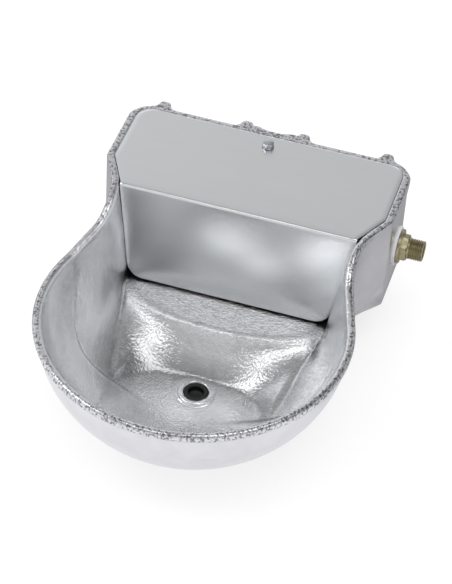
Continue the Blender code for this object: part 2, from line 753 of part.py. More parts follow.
def make_cover_screw():
    washer_foot = CHAMBER_RISE + CLEAR
    ring = ring_profile(WASHER_R, SCREW_R + CLEAR, WASHER_T, 0)
    turned("cover_washer", ring, (0, SCREW_Y, washer_foot), finish="zinc_steel")
    head_foot = washer_foot + WASHER_T + CLEAR
    shank_start = (0, SCREW_Y, head_foot - SCREW_LEN)
    shank = rod("cover_screw", SCREW_R, shank_start, SCREW_LEN + SCREW_HEAD_H / 2, finish="zinc_steel")
    head_r = SCREW_HEAD_AF * AF_TO_R
    join(shank, rod("cover_screw_head", head_r, (0, SCREW_Y, head_foot), SCREW_HEAD_H, steps=HEX_SIDES))


def make_drain_plug():
    """A tapered rubber bung with a finger recess in its top."""
    top = -CLEAR
    foot = -PLUG_LEN
    upper = DRAIN_R - CLEAR
    profile = [(0, -PLUG_RECESS_DEPTH), (PLUG_RECESS_R, -PLUG_RECESS_DEPTH), (PLUG_RECESS_R, top),
               (upper - PLUG_LIP_R, top), (upper, top - PLUG_LIP_R), (DRAIN_FOOT_R - CLEAR, foot), (0, foot)]
    turned("drain_plug", profile, (0, DRAIN_Y, -DRAIN_RING_DEPTH), finish="black_rubber")


def make_inlet():
    """The nipple through the chamber's wall, its washers and its lock nut; returns where the valve body starts."""
    washer_face = CLEAR + OUTER_WASHER_T
    origin = (BOX_HALF, INLET_Y, -INLET_DEPTH)
    hole_r = NIPPLE_R + CLEAR
    turned("outer_washer", ring_profile(OUTER_WASHER_R, hole_r, washer_face, CLEAR), origin, "X", "nylon")

    flange_foot = washer_face + CLEAR
    hex_foot = flange_foot + NIPPLE_FLANGE_T
    thread_foot = hex_foot + NIPPLE_HEX_LEN
    end = thread_foot + NIPPLE_THREAD_LEN
    gasket_face = -INLET_PAD_DEPTH - CLEAR
    nut_face = gasket_face - INNER_GASKET_T - CLEAR
    body_face = nut_face - LOCK_NUT_T - CLEAR
    inner_end = body_face - BODY_SOCKET_LEN + CLEAR
    profile = [(0, end), (NIPPLE_R - NIPPLE_CHAMFER, end), (NIPPLE_R, end - NIPPLE_CHAMFER), (NIPPLE_R, hex_foot),
               (NIPPLE_FLANGE_R, hex_foot), (NIPPLE_FLANGE_R, flange_foot), (NIPPLE_R, flange_foot),
               (NIPPLE_R, inner_end), (0, inner_end)]
    nipple = turned("inlet_nipple", profile, origin, "X", "brass")
    hex_start = (BOX_HALF + hex_foot - CLEAR, INLET_Y, -INLET_DEPTH)
    hex_r = NIPPLE_HEX_AF * AF_TO_R
    join(nipple, rod("nipple_hex", hex_r, hex_start, NIPPLE_HEX_LEN + CLEAR, "X", steps=HEX_SIDES))
    bore_start = (BOX_HALF + inner_end - OVERRUN, INLET_Y, -INLET_DEPTH)
    bore_len = end - inner_end + 2 * OVERRUN
    cut(nipple, rod("nipple_bore", NIPPLE_BORE_R, bore_start, bore_len, "X"))

    gasket = ring_profile(INNER_GASKET_R, hole_r, gasket_face, gasket_face - INNER_GASKET_T)
    turned("inner_gasket", gasket, origin, "X", "black_rubber")
    nut_start = (BOX_HALF + nut_face - LOCK_NUT_T, INLET_Y, -INLET_DEPTH)
    nut("lock_nut", LOCK_NUT_AF, hole_r, nut_start, LOCK_NUT_T)
    return BOX_HALF + body_face


def nut(name, across_flats, hole_r, start, thickness, finish="brass"):
    """A hexagon nut whose axis lies along X."""
    item = rod(name, across_flats * AF_TO_R, start, thickness, "X", finish, steps=HEX_SIDES)
    hole_start = (start[0] - OVERRUN, start[1], start[2])
    cut(item, rod(name + "_hole", hole_r, hole_start, thickness + 2 * OVERRUN, "X"))
    return item


def make_valve(face_x):
    """Valve body, nozzle, piston and seal; returns the X of the piston's free end."""
    centre_z = -INLET_DEPTH
    shoulder = face_x - BODY_SOCKET_LEN - NOZZLE_FLANGE_T - CLEAR
    mouth = shoulder - BODY_BARREL_LEN
    pivot_x = mouth - PIVOT_SET - CLEAR
    body = rod("valve_body", BODY_R, (mouth, INLET_Y, centre_z), face_x - mouth, "X", "brass")
    lug_in = LEVER_HALF + CLEAR
    for side, label in ((-1, "front"), (1, "rear")):
        near, far = sorted((side * lug_in, side * (lug_in + LUG_T)))
        low = (pivot_x - LUG_REACH, INLET_Y + near, centre_z - PIVOT_DROP - LUG_FOOT)
        join(body, block(f"lug_{label}", low, (mouth + LUG_ROOT, INLET_Y + far, centre_z + LUG_TOP)))
    socket = rod("body_socket", NIPPLE_R + CLEAR, (shoulder, INLET_Y, centre_z), face_x - shoulder + OVERRUN, "X")
    barrel_start = (pivot_x - LUG_REACH - OVERRUN, INLET_Y, centre_z)
    barrel = rod("body_barrel", BARREL_R, barrel_start, shoulder - barrel_start[0] + CLEAR, "X")
    lug_span = 2 * (lug_in + LUG_T + OVERRUN)
    pin_start = (pivot_x, INLET_Y - lug_span / 2, centre_z - PIVOT_DROP)
    pin_hole = rod("body_pin_hole", PIN_R + CLEAR, pin_start, lug_span, "Y")
    outlet_low = (shoulder - OUTLET_LEN - CLEAR, INLET_Y - OUTLET_HALF, centre_z - BODY_R - OVERRUN)
    outlet = block("body_outlet", outlet_low, (shoulder - CLEAR, INLET_Y + OUTLET_HALF, centre_z))
    cut(body, socket, barrel, pin_hole, outlet)

    flange_face = face_x - BODY_SOCKET_LEN - CLEAR / 2
    tip = -NOZZLE_FLANGE_T - NOZZLE_TIP_LEN
    nozzle = [(NOZZLE_FLANGE_R, 0), (NOZZLE_FLANGE_R, -NOZZLE_FLANGE_T + CLEAR),
              (NOZZLE_TIP_R, -NOZZLE_FLANGE_T + CLEAR), (NOZZLE_TIP_R, tip), (NOZZLE_HOLE_R, tip), (NOZZLE_HOLE_R, 0)]
    turned("valve_nozzle", nozzle, (flange_face, INLET_Y, centre_z), "X", "acetal")

    seal_x = flange_face + tip - CLEAR
    rod("piston_seal", SEAL_R, (seal_x - SEAL_T, INLET_Y, centre_z), SEAL_T, "X", "black_rubber")
    cup_foot = -SEAL_T - CLEAR
    rim = -PISTON_CUP_SET
    stem_face = rim - PISTON_HEAD_LEN
    end = stem_face - PISTON_STEM_LEN
    piston = [(0, cup_foot), (PISTON_CUP_R, cup_foot), (PISTON_CUP_R, rim), (PISTON_R, rim), (PISTON_R, stem_face),
              (PISTON_STEM_R, stem_face), (PISTON_STEM_R, end), (0, end)]
    turned("valve_piston", piston, (seal_x, INLET_Y, centre_z), "X", "acetal")
    return seal_x + end, pivot_x


def make_lever(piston_x, pivot_x):
    """The lever on its pin, its adjusting screw, and the float on its rod."""
    axis_z = -INLET_DEPTH - PIVOT_DROP
    lever_start = (pivot_x, INLET_Y - LEVER_HALF, axis_z)
    lever = rod("float_lever", LEVER_HUB_R, lever_start, 2 * LEVER_HALF, "Y", "brass")
    finger_x = pivot_x + FINGER_T - FINGER_SET
    finger_low = (finger_x - FINGER_T, INLET_Y - FINGER_HALF, axis_z)
    finger_high = (finger_x, INLET_Y + FINGER_HALF, -INLET_DEPTH + FINGER_TOP)
    boss_x = pivot_x - LEVER_BOSS_LEN
    boss = rod("lever_boss", LEVER_BOSS_R, (boss_x, INLET_Y, axis_z), LEVER_BOSS_LEN, "X")
    join(lever, block("lever_finger", finger_low, finger_high), boss)
    pin_span = 2 * (LEVER_HALF + OVERRUN)
    hub_hole = rod("hub_hole", PIN_R + CLEAR, (pivot_x, INLET_Y - pin_span / 2, axis_z), pin_span, "Y")
    tap_start = (finger_x - FINGER_T - OVERRUN, INLET_Y, -INLET_DEPTH)
    tap = rod("adjuster_tap", ADJUSTER_R + CLEAR, tap_start, FINGER_T + 2 * OVERRUN, "X")
    grip_start = (boss_x - OVERRUN, INLET_Y, axis_z)
    grip = rod("rod_tap", ROD_R + CLEAR, grip_start, OVERRUN + ROD_GRIP + CLEAR, "X")
    cut(lever, hub_hole, tap, grip)

    lug_out = LEVER_HALF + CLEAR + LUG_T
    head_y = INLET_Y - lug_out - CLEAR - PIN_HEAD_T
    pin_len = 2 * (lug_out + CLEAR) + CLIP_T + PIN_TAIL
    pin = rod("lever_pin", PIN_R, (pivot_x, head_y, axis_z), pin_len, "Y", "zinc_steel")
    join(pin, rod("pin_head", PIN_HEAD_R, (pivot_x, head_y - CLEAR, axis_z), PIN_HEAD_T + CLEAR, "Y"))
    clip_y = INLET_Y + lug_out + CLEAR
    turned("pin_clip", ring_profile(CLIP_R, PIN_R + CLEAR, CLIP_T, 0), (pivot_x, clip_y, axis_z), "Y", "zinc_steel")

    screw_tip = piston_x - CLEAR
    screw_tail = finger_x - FINGER_T - ADJUSTER_STANDOFF
    shank_start = (screw_tail, INLET_Y, -INLET_DEPTH)
    adjuster = rod("adjusting_screw", ADJUSTER_R, shank_start, screw_tip - screw_tail, "X", "zinc_steel")
    head_start = (screw_tail - ADJUSTER_HEAD_T, INLET_Y, -INLET_DEPTH)
    head_r = ADJUSTER_HEAD_AF * AF_TO_R
    join(adjuster, rod("adjuster_head", head_r, head_start, ADJUSTER_HEAD_T + CLEAR, "X", steps=HEX_SIDES))
    nut_start = (finger_x - FINGER_T - CLEAR - ADJUSTER_NUT_T, INLET_Y, -INLET_DEPTH)
    nut("adjusting_nut", ADJUSTER_NUT_AF, ADJUSTER_R + CLEAR, nut_start, ADJUSTER_NUT_T, "zinc_steel")

    float_right = boss_x - FLOAT_STANDOFF
    float_left = float_right - FLOAT_LEN
    rod_end = float_left - CLEAR - ROD_NUT_T - ROD_TAIL
    rod_right = boss_x + ROD_GRIP
    rod("float_arm", ROD_R, (rod_end, INLET_Y, axis_z), rod_right - rod_end, "X", "brass")
    arm_nut_x = boss_x - CLEAR - ROD_NUT_T
    nut("arm_nut", ROD_NUT_AF, ROD_R + CLEAR, (arm_nut_x, INLET_Y, axis_z), ROD_NUT_T)
    for label, x in (("inner", float_right + CLEAR), ("outer", float_left - CLEAR - ROD_NUT_T)):
        nut(f"float_nut_{label}", ROD_NUT_AF, ROD_R + CLEAR, (x, INLET_Y, axis_z), ROD_NUT_T)

    float_low = (float_left, INLET_Y - FLOAT_WIDTH / 2, axis_z - FLOAT_ROD_RISE)
    float_high = (float_right, INLET_Y + FLOAT_WIDTH / 2, axis_z - FLOAT_ROD_RISE + FLOAT_HEIGHT)
    body = block("float", float_low, float_high, "float_plastic")
    edges = body.modifiers.new("edges", "BEVEL")
    edges.width = FLOAT_EDGE_R
    edges.segments = FLOAT_EDGE_STEPS
    tunnel_start = (float_left - OVERRUN, INLET_Y, axis_z)
    tunnel_len = FLOAT_LEN + 2 * OVERRUN
    cut(body, rod("float_tunnel", ROD_R + CLEAR, tunnel_start, tunnel_len, "X", steps=TUNNEL_STEPS))


def main():
    clear_scene()
    for name in ("livestock_drinking_bowl", "cutters"):
        bpy.context.scene.collection.children.link(bpy.data.collections.new(name))
    make_casting()
    make_cover()
    make_cover_screw()
    make_drain_plug()
    piston_x, pivot_x = make_valve(make_inlet())
    make_lever(piston_x, pivot_x)


main()
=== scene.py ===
"""Livestock drinking bowl: the finished casting, cover, inlet and float valve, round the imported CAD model."""
import json
import math

import bmesh
import bpy
import numpy as np
from bpy.props import FloatProperty, FloatVectorProperty, PointerProperty
from mathutils import Matrix, Vector


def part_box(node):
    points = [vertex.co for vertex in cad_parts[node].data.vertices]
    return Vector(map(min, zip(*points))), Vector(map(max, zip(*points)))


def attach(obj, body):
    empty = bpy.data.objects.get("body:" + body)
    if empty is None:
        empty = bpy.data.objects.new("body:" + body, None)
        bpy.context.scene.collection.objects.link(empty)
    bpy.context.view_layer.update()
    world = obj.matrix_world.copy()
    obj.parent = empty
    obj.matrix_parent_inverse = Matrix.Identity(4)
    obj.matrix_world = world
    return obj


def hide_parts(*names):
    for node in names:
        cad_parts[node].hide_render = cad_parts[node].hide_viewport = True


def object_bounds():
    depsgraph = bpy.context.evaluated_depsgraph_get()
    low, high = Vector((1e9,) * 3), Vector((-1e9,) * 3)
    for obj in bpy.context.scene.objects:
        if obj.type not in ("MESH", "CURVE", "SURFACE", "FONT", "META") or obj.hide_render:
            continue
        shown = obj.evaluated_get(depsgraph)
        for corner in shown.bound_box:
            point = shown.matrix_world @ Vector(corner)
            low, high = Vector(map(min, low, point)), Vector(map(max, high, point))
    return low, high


bl_info = {
    "name": "Livestock Drinking Bowl",
    "version": (1, 0, 0),
    "blender": (4, 5, 0),
    "location": "3D View > Sidebar > Drinking Bowl",
    "description": "Finished pieces, materials and studio for a cast drinking bowl with a float chamber",
    "category": "Object",
}

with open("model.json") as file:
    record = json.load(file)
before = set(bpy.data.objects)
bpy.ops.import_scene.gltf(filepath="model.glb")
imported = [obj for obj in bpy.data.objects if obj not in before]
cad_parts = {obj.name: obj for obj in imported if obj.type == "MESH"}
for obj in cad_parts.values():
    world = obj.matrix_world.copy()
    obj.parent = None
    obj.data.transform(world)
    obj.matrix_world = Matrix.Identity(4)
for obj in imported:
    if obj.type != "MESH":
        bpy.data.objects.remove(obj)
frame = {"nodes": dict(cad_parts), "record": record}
CAD_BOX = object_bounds()

# Plan of the casting, in metres, with the wall plane at y = 0 and the basin's rim at z = 0
BACK_GAP, BOX_RUN, WAIST_RUN, BASIN_RUN = 0.0105, 0.086, 0.056, 0.110
BACK_Y = -BACK_GAP
KINK_Y = BACK_Y - BOX_RUN
NECK_Y = KINK_Y - WAIST_RUN
BOWL_Y = NECK_Y - BASIN_RUN
BOX_HALF, BOX_CORNER_R = 0.1415, 0.022
NECK_HALF, NECK_R, NECK_TIGHTEN_SHARE = 0.1235, 0.075, 1.3
RIM_R, CHAMBER_RISE = 0.148, 0.025
BASIN_R, BASIN_DEPTH = 0.140, 0.116
OUTER_R, OUTER_DEPTH = 0.145, 0.126
SIDE_LAP = 0.001

# Walls, whose drafts are shares of the depth below the chamber's top
WALL, WALL_DRAFT_SHARE = 0.0075, 0.02
TROUGH_DEPTH, TROUGH_ROUND_DEPTH, TROUGH_ROUND, TROUGH_DRAFT_SHARE = 0.104, 0.070, 0.032, 0.135
FLOOR_DEPTH, SHELL_SET, SHELL_DRAFT_SHARE = 0.084, 0.001, 0.08
CHEEK_DEPTH, CHEEK_SET, CHEEK_TUCK, CHEEK_TUCK_MOST, CHEEK_BACK_RUN = 0.096, 0.002, 0.010, 1.2, 0.006

# The rim's bead, and its rise to the chamber's top
BEAD_R, BEAD_END_R, BEAD_SINK = 0.0044, 0.0026, 0.00025
RISE_FOOT_RUN, RISE_WAIST_RUN, RISE_TOP_RUN = 0.070, 0.014, 0.018
BEAD_FADE_RUN, BEAD_OVERRUN = 0.040, 0.008

# The ledge with its apron, and the pocket under them
LEDGE_BACK_DEPTH, LEDGE_LIP_DEPTH = 0.074, 0.077
LEDGE_HALF, LEDGE_NOSE_LEN, LEDGE_CURVE = 0.101, 0.041, 2.1
APRON_FOOT_LEN, APRON_FOOT_SWEEP, APRON_NARROW_SHARE, APRON_END_SHARE = 0.038, 0.012, 0.78, 1.1
LIP_BEAD_RISE, LIP_BEAD_FALL = 0.0019, 0.0032
POCKET_HALF, POCKET_FOOT_HALF, POCKET_BACK_RUN, POCKET_FOOT_GAP = 0.073, 0.078, 0.020, 0.004
LEDGE_T = 0.0085

# Ribs at the back, with a saddle for a post between the middle pair and a bolt hole through each of those
RIB_PLACES = (-0.114, -0.029, 0.029, 0.114)
RIB_R, RIB_SET, RIB_FOOT_DEPTH, RIB_ROOT_RUN = 0.0058, 0.005, 0.068, 0.012
SADDLE_R, SADDLE_SET, SADDLE_HALF = 0.031, 0.001, 0.026
BOLT_R, BOLT_Z, BOLT_RUN = 0.00475, 0.003, 0.02

# The cover's sheet and the land that it lies on
CLEAR = 0.0003
RIM_LAND = 0.0059
COVER_T, COVER_GAP, COVER_EDGE_R, COVER_KINK_SHARE = 0.0015, 0.0004, 0.0003, 0.15
FOLD_HALF, FOLD_R, FOLD_RUN, FLAP_LEAN, FLAP_DEPTH = 0.1174, 0.003, 0.0182, 0.017, 0.0735
FOLD_Y = NECK_Y + FOLD_RUN + FOLD_R
FLAP_FOOT_HALF, FLAP_CORNER_R = 0.1003, 0.014

# The screw's boss with its web, the drain's ring, and the inlet's pad and hole
SCREW_Y = BACK_Y - 0.021
BOSS_R, BOSS_LEN, WEB_HALF = 0.008, 0.032, 0.006
SCREW_HOLE_R, SCREW_HOLE_DEPTH = 0.0033, 0.0183
DRAIN_Y, DRAIN_TOP, DRAIN_R, DRAIN_TAPER_SHARE = BOWL_Y + 0.020, -0.1125, 0.012, 0.08
DRAIN_RING_R, DRAIN_RING_HALF, DRAIN_END_DEPTH, DRAIN_END_SLOPE = 0.0175, 0.004, 0.1, 5
INLET_Y, INLET_Z = BACK_Y - 0.052, -0.033
INLET_PAD_R, INLET_PAD_SET, INLET_HOLE_R, INLET_HOLE_X = 0.019, 0.010, 0.01078, 0.12

# Roundings where the casting's forms meet
TROUGH_FLOOR_ROUND, WAIST_ROUND, RING_ROUND, BOSS_ROUND = 0.003, 0.012, 0.0015, 0.003
SHELL_ROUND, DOME_ROUND, CHEEK_ROUND = 0.004, 0.010, 0.006
RIB_FOOT_ROUND, RIB_ROUND, BACK_ROUND = 0.003, 0.009, 0.001
WALL_TOP_ROUND, RIM_TOP_ROUND, BEAD_ROUND = 0.0016, 0.0018, 0.0008

# Places and spacings that the casting's field is worked out at, and the distance that stands for far away
TABLE_STEP = 0.0015
LEVELS = np.arange(-0.111, 0.034, TABLE_STEP)
PLAN_Y = np.arange(-0.42, 0.012, TABLE_STEP)
SKIN_X, SKIN_Y, SKIN_Z = (-0.1545, 0.1546), (-0.4165, 0.0075), (-0.1325, 0.0205)
TOP_LEVELS = np.append(np.arange(0.0205, 0.0275, 0.0007), (0.029, 0.032))
FAR, BEAD_NEAR, RIM_NEAR = 0.05, 0.012, 0.02

# Widths over which the casting's finishes and its painted valley shade fade out, and the share of the apron
# where the ledge's ends
INSIDE_FADE, LEDGE_FADE, VALLEY_SHADE_FADE, RIM_FADE, RIM_TOP_SET = 0.003, 0.003, 0.014, 0.0012, 0.0008
LEDGE_END_SHARE = 1 / 6


def linear(code):
    """Linear red, green and blue of an sRGB hex colour."""
    parts = [int(code[i:i + 2], 16) / 255 for i in (1, 3, 5)]
    return tuple(p / 12.92 if p <= 0.04045 else ((p + 0.055) / 1.055) ** 2.4 for p in parts)


class BowlSettings(bpy.types.PropertyGroup):
    mesh_step: FloatProperty(name="Casting Mesh Step", description="Spacing of the casting's faces",
                             default=0.0024, min=0.001, max=0.006, unit="LENGTH")
    lip_round: FloatProperty(name="Ledge Lip Rounding", description="How far the ledge's lip is rounded off",
                             default=0.0014, min=0.0005, max=0.02, unit="LENGTH")
    valley_round: FloatProperty(name="Valley Rounding", description="How softly apron and basin meet",
                                default=0.0018, min=0.001, max=0.03, unit="LENGTH")
    thread_pitch: FloatProperty(name="Thread Pitch", description="Pitch of the inlet's pipe thread",
                                default=0.001814, min=0.0005, max=0.003, unit="LENGTH")
    thread_depth: FloatProperty(name="Thread Depth", description="Depth of the inlet's pipe thread",
                                default=0.00105, min=0.0001, max=0.002, unit="LENGTH")
    cover_bulge: FloatProperty(name="Flap Bulge", description="How far the flap's sheet is bowed out",
                               default=0.0008, min=0.0, max=0.004, unit="LENGTH")
    # Inside and outside are one zinc coat; the inside's tone is painted lighter than the outside's, as painted
    # light for the basin's hollow
    shell_colour: FloatVectorProperty(name="Outer Zinc", description="Colour of the smoother coat outside",
                                      default=linear("#E0E0E5"), size=3, subtype="COLOR")
    lit_inside_zinc_colour: FloatVectorProperty(name="Zinc", description="Colour of the galvanised coat",
                                     default=linear("#F1F2F4"), size=3, subtype="COLOR")
    cover_colour: FloatVectorProperty(name="Stainless Sheet", description="Colour of the brushed cover",
                                      default=linear("#E7E9EB"), size=3, subtype="COLOR")
    brass_colour: FloatVectorProperty(name="Brass", description="Colour of the inlet fitting",
                                      default=linear("#BDB190"), size=3, subtype="COLOR")


def settings():
    return bpy.context.scene.drinking_bowl


# Meshes

def show(name, mesh):
    """Puts a mesh in the scene as an object at the origin."""
    item = bpy.data.objects.new(name, mesh)
    bpy.context.scene.collection.objects.link(item)
    return item


def mesh_of(name, points, faces):
    mesh = bpy.data.meshes.new(name)
    mesh.from_pydata(np.asarray(points).tolist(), [], faces if isinstance(faces, list) else faces.tolist())
    mesh.validate()
    return mesh


def settle(item):
    """Turns a piece's modifiers into its plain mesh."""
    bpy.context.view_layer.update()
    graph = bpy.context.evaluated_depsgraph_get()
    mesh = bpy.data.meshes.new_from_object(item.evaluated_get(graph))
    mesh.name = item.name
    item.modifiers.clear()
    item.data = mesh
    return item


def turned(name, rows, axis, centre, count=96, closed=True):
    """A body through rings of radii about an axis; each row is (place along the axis, radius or radii)."""
    angles = np.linspace(0, 2 * np.pi, count, endpoint=False)
    points = []
    for place, radii in rows:
        radii = np.broadcast_to(radii, count)
        points.append(np.stack([radii * np.cos(angles), radii * np.sin(angles), np.full(count, place)], 1))
    points = np.concatenate(points)
    turn = {"Z": (0, 1, 2), "X": (2, 0, 1), "Y": (1, 2, 0)}[axis]
    points = points[:, turn] + np.array(centre)
    i = np.arange(count)
    j = (i + 1) % count
    faces = []
    for row in range(len(rows) - 1):
        a, b = row * count, (row + 1) * count
        faces += np.stack([a + i, a + j, b + j, b + i], 1).tolist()
    if closed:
        faces += [list(range(count))[::-1], list(range(len(points) - count, len(points)))]
    else:
        a = len(points) - count
        faces += np.stack([a + i, a + j, j, i], 1).tolist()
    mesh = mesh_of(name, points, faces)
    work = bmesh.new()
    work.from_mesh(mesh)
    bmesh.ops.recalc_face_normals(work, faces=work.faces)
    work.to_mesh(mesh)
    work.free()
    return show(name, mesh)


def smooth(mesh, degrees=35):
    """Shades a mesh smooth and keeps the edges sharper than an angle."""
    mesh.shade_smooth()
    mesh.set_sharp_from_angle(angle=math.radians(degrees))


def hexagon(across_flats, cap, count=96):
    """Radii of a hexagon bar turned down to the cap radius at its corners."""
    angles = np.linspace(0, 2 * np.pi, count, endpoint=False)
    bar = across_flats / 2 / np.cos((angles + np.pi / 6) % (np.pi / 3) - np.pi / 6)
    return np.minimum(bar, cap)


# The casting as a field of distances

def smooth_max(a, b, width):
    """The larger of two distances, rounded off over a width where they cross."""
    part = np.maximum(width - np.abs(a - b), 0) / width
    return np.maximum(a, b) + part * part * width / 4


def smooth_min(a, b, width):
    return -smooth_max(-a, -b, width)


def oval(radius, depth, z):
    """Radius of the basin's half ellipsoid at a height."""
    return radius * math.sqrt(max(0, 1 - (min(z, 0) / depth) ** 2))


def side_points(front_r, inset, lean):
    """Right side of the plan, from the basin's circle round the waist and out to the chamber's kink."""
    radius = NECK_R + inset - NECK_TIGHTEN_SHARE * lean
    centre = np.array([NECK_HALF - inset - lean + radius, NECK_Y])
    reach = centre - (0, BOWL_Y)
    leave = math.atan2(reach[1], reach[0]) - math.acos((front_r + radius) / np.hypot(*reach))
    flare = math.atan2(BOX_HALF - NECK_HALF, KINK_Y - NECK_Y)
    kink = np.array([BOX_HALF - inset, KINK_Y + inset * math.tan(flare / 2)])
    away = kink - centre
    meet = math.atan2(away[1], away[0]) + math.acos(radius / np.hypot(*away))
    turn = np.linspace(math.pi + leave, meet, 24)
    arc = centre + radius * np.stack([np.cos(turn), np.sin(turn)], 1)
    start = (front_r * math.cos(leave), BOWL_Y + front_r * math.sin(leave))
    return np.vstack([start, arc, kink])


def plan_tables(radius, depth, inset_of, lean_of):
    """Half widths of the plan by height and place, their slope factors, and where each side starts."""
    rows = []
    starts = []
    for z in LEVELS:
        points = side_points(oval(radius, depth, z) - SIDE_LAP, inset_of(z), lean_of(z))
        rows.append(np.interp(PLAN_Y, points[:, 1], points[:, 0]))
        starts.append(points[0, 1])
    widths = np.array(rows)
    by_z, by_y = np.gradient(widths, LEVELS, PLAN_Y)
    return widths, 1 / np.sqrt(1 + by_z ** 2 + by_y ** 2), np.array(starts)


def lookup(table, z, y):
    """Reads a table between its rows and columns."""
    i = np.clip((z - LEVELS[0]) / (LEVELS[1] - LEVELS[0]), 0, len(LEVELS) - 1.001)
    j = np.clip((y - PLAN_Y[0]) / (PLAN_Y[1] - PLAN_Y[0]), 0, len(PLAN_Y) - 1.001)
    row, column = i.astype(int), j.astype(int)
    i, j = i - row, j - column
    low = table[row, column] * (1 - j) + table[row, column + 1] * j
    high = table[row + 1, column] * (1 - j) + table[row + 1, column + 1] * j
    return low * (1 - i) + high * i


def below_top(z):
    """Depth below the chamber's top."""
    return np.maximum(0, CHAMBER_RISE - z)


def inner_inset(z):
    return WALL + WALL_DRAFT_SHARE * below_top(z)


def trough_lean(z):
    """How far the inside walls have come in at a height, with a round foot."""
    low = max(0, -z - TROUGH_ROUND_DEPTH) / (TROUGH_DEPTH - TROUGH_ROUND_DEPTH)
    return TROUGH_DRAFT_SHARE * below_top(z) + TROUGH_ROUND * low ** 2


def shell_lean(z):
    """How far the chamber's outside has come in at a height."""
    return SHELL_SET + SHELL_DRAFT_SHARE * below_top(z)


def cheek_lean(z):
    """How far the cheeks under the waist have come in at a height, with a tucked foot."""
    low = max(0, -z - FLOOR_DEPTH) / (CHEEK_DEPTH - FLOOR_DEPTH)
    return shell_lean(z) + CHEEK_SET + CHEEK_TUCK * min(low, CHEEK_TUCK_MOST)


INNER = plan_tables(BASIN_R, BASIN_DEPTH, inner_inset, trough_lean)
OUTER = plan_tables(OUTER_R, OUTER_DEPTH, lambda z: 0, shell_lean)
CHEEKS = plan_tables(OUTER_R, OUTER_DEPTH, lambda z: 0, cheek_lean)


def box_plan(ax, y, inset):
    """Distance to the chamber's plan, a box with round rear corners."""
    over_x = ax - (BOX_HALF - BOX_CORNER_R)
    over_y = y - (BACK_Y - BOX_CORNER_R)
    beyond = np.hypot(np.maximum(over_x, 0), np.maximum(over_y, 0))
    within = np.minimum(np.maximum(over_x, over_y), 0)
    return beyond + within - (BOX_CORNER_R - inset)


def plan_distance(tables, ax, y, z, inset):
    """Distance to the upright walls of the waist and the chamber, from the tables of their plan."""
    widths, slopes, starts = tables
    side = (ax - lookup(widths, z, y)) * lookup(slopes, z, y)
    front = np.interp(z, LEVELS, starts) - y
    return np.maximum(np.maximum(side, box_plan(ax, y, inset)), front)


def bowl_distance(radius, depth, ax, y, z):
    """Distance to a half ellipsoid under the rim, with its slope kept off zero at the middle."""
    across = ax ** 2 + (y - BOWL_Y) ** 2
    low = np.minimum(z, 0) ** 2
    near = np.sqrt(np.maximum(across, 1e-6) / radius ** 2 + low / depth ** 2)
    slope = np.sqrt(across / radius ** 4 + low / depth ** 4)
    return near * (near - 1) / np.maximum(slope, 0.01)


def rise_line():
    """The rim's rise seen from the side: a cubic from the basin's rim up to the chamber's top."""
    foot, waist, top = NECK_Y - RISE_FOOT_RUN, NECK_Y - RISE_WAIST_RUN, NECK_Y + RISE_TOP_RUN
    t = np.linspace(0, 1, 65)
    places = (1 - t) ** 3 * foot + 3 * t * (1 - t) * waist + t ** 3 * top
    return places, CHAMBER_RISE * (3 * (1 - t) * t ** 2 + t ** 3)


RISE_Y, RISE_Z = rise_line()


def fade(y):
    """1 where the bead stands proud along the basin, and 0 where it has run out beside the chamber."""
    return np.interp(y, (NECK_Y - RISE_WAIST_RUN, NECK_Y + BEAD_FADE_RUN), (1, 0))


def bead_r(y):
    """The bead's radius, which thins towards the chamber."""
    return BEAD_END_R + (BEAD_R - BEAD_END_R) * fade(y)


def bead_track():
    """Right half of the bead's centre line, with its radius at each point."""
    lines = []
    for inset in (BEAD_R + BEAD_SINK, BEAD_END_R + BEAD_SINK):
        front_r = RIM_R - inset
        side = side_points(front_r, inset, 0)
        leave = math.atan2(side[0, 1] - BOWL_Y, side[0, 0])
        turn = np.linspace(-math.pi / 2, leave, 72)[:-1]
        front = np.stack([front_r * np.cos(turn), BOWL_Y + front_r * np.sin(turn)], 1)
        lines.append(np.vstack([front, side]))
    share = fade(lines[0][:, 1])[:, None]
    plan = share * lines[0] + (1 - share) * lines[1]
    plan = np.vstack([plan, plan[-1] + (0, BEAD_OVERRUN)])
    radius = bead_r(plan[:, 1])
    height = np.interp(plan[:, 1], RISE_Y, RISE_Z) - radius - BEAD_SINK
    return np.column_stack([plan, height]), radius


TRACK, TRACK_R = bead_track()


def bead_distance(ax, y, z):
    """Distance to the bead, worked out only near the rim."""
    far = np.full(ax.shape, FAR)
    rim = np.interp(y, RISE_Y, RISE_Z)
    near = (np.abs(z - rim + BEAD_R) < BEAD_NEAR) & (y < KINK_Y + RIM_NEAR)
    near &= bowl_distance(OUTER_R, OUTER_DEPTH, ax, y, z * 0) > -RIM_NEAR
    points = np.stack([ax[near], y[near], z[near]], 1)
    best = np.full(len(points), FAR)
    for a, b, ra, rb in zip(TRACK[:-1], TRACK[1:], TRACK_R[:-1], TRACK_R[1:]):
        run = b - a
        share = np.clip((points - a) @ run / (run @ run), 0, 1)
        gap = np.linalg.norm(points - a - share[:, None] * run, axis=1) - (ra + share * (rb - ra))
        best = np.minimum(best, gap)
    far[near] = best
    return far


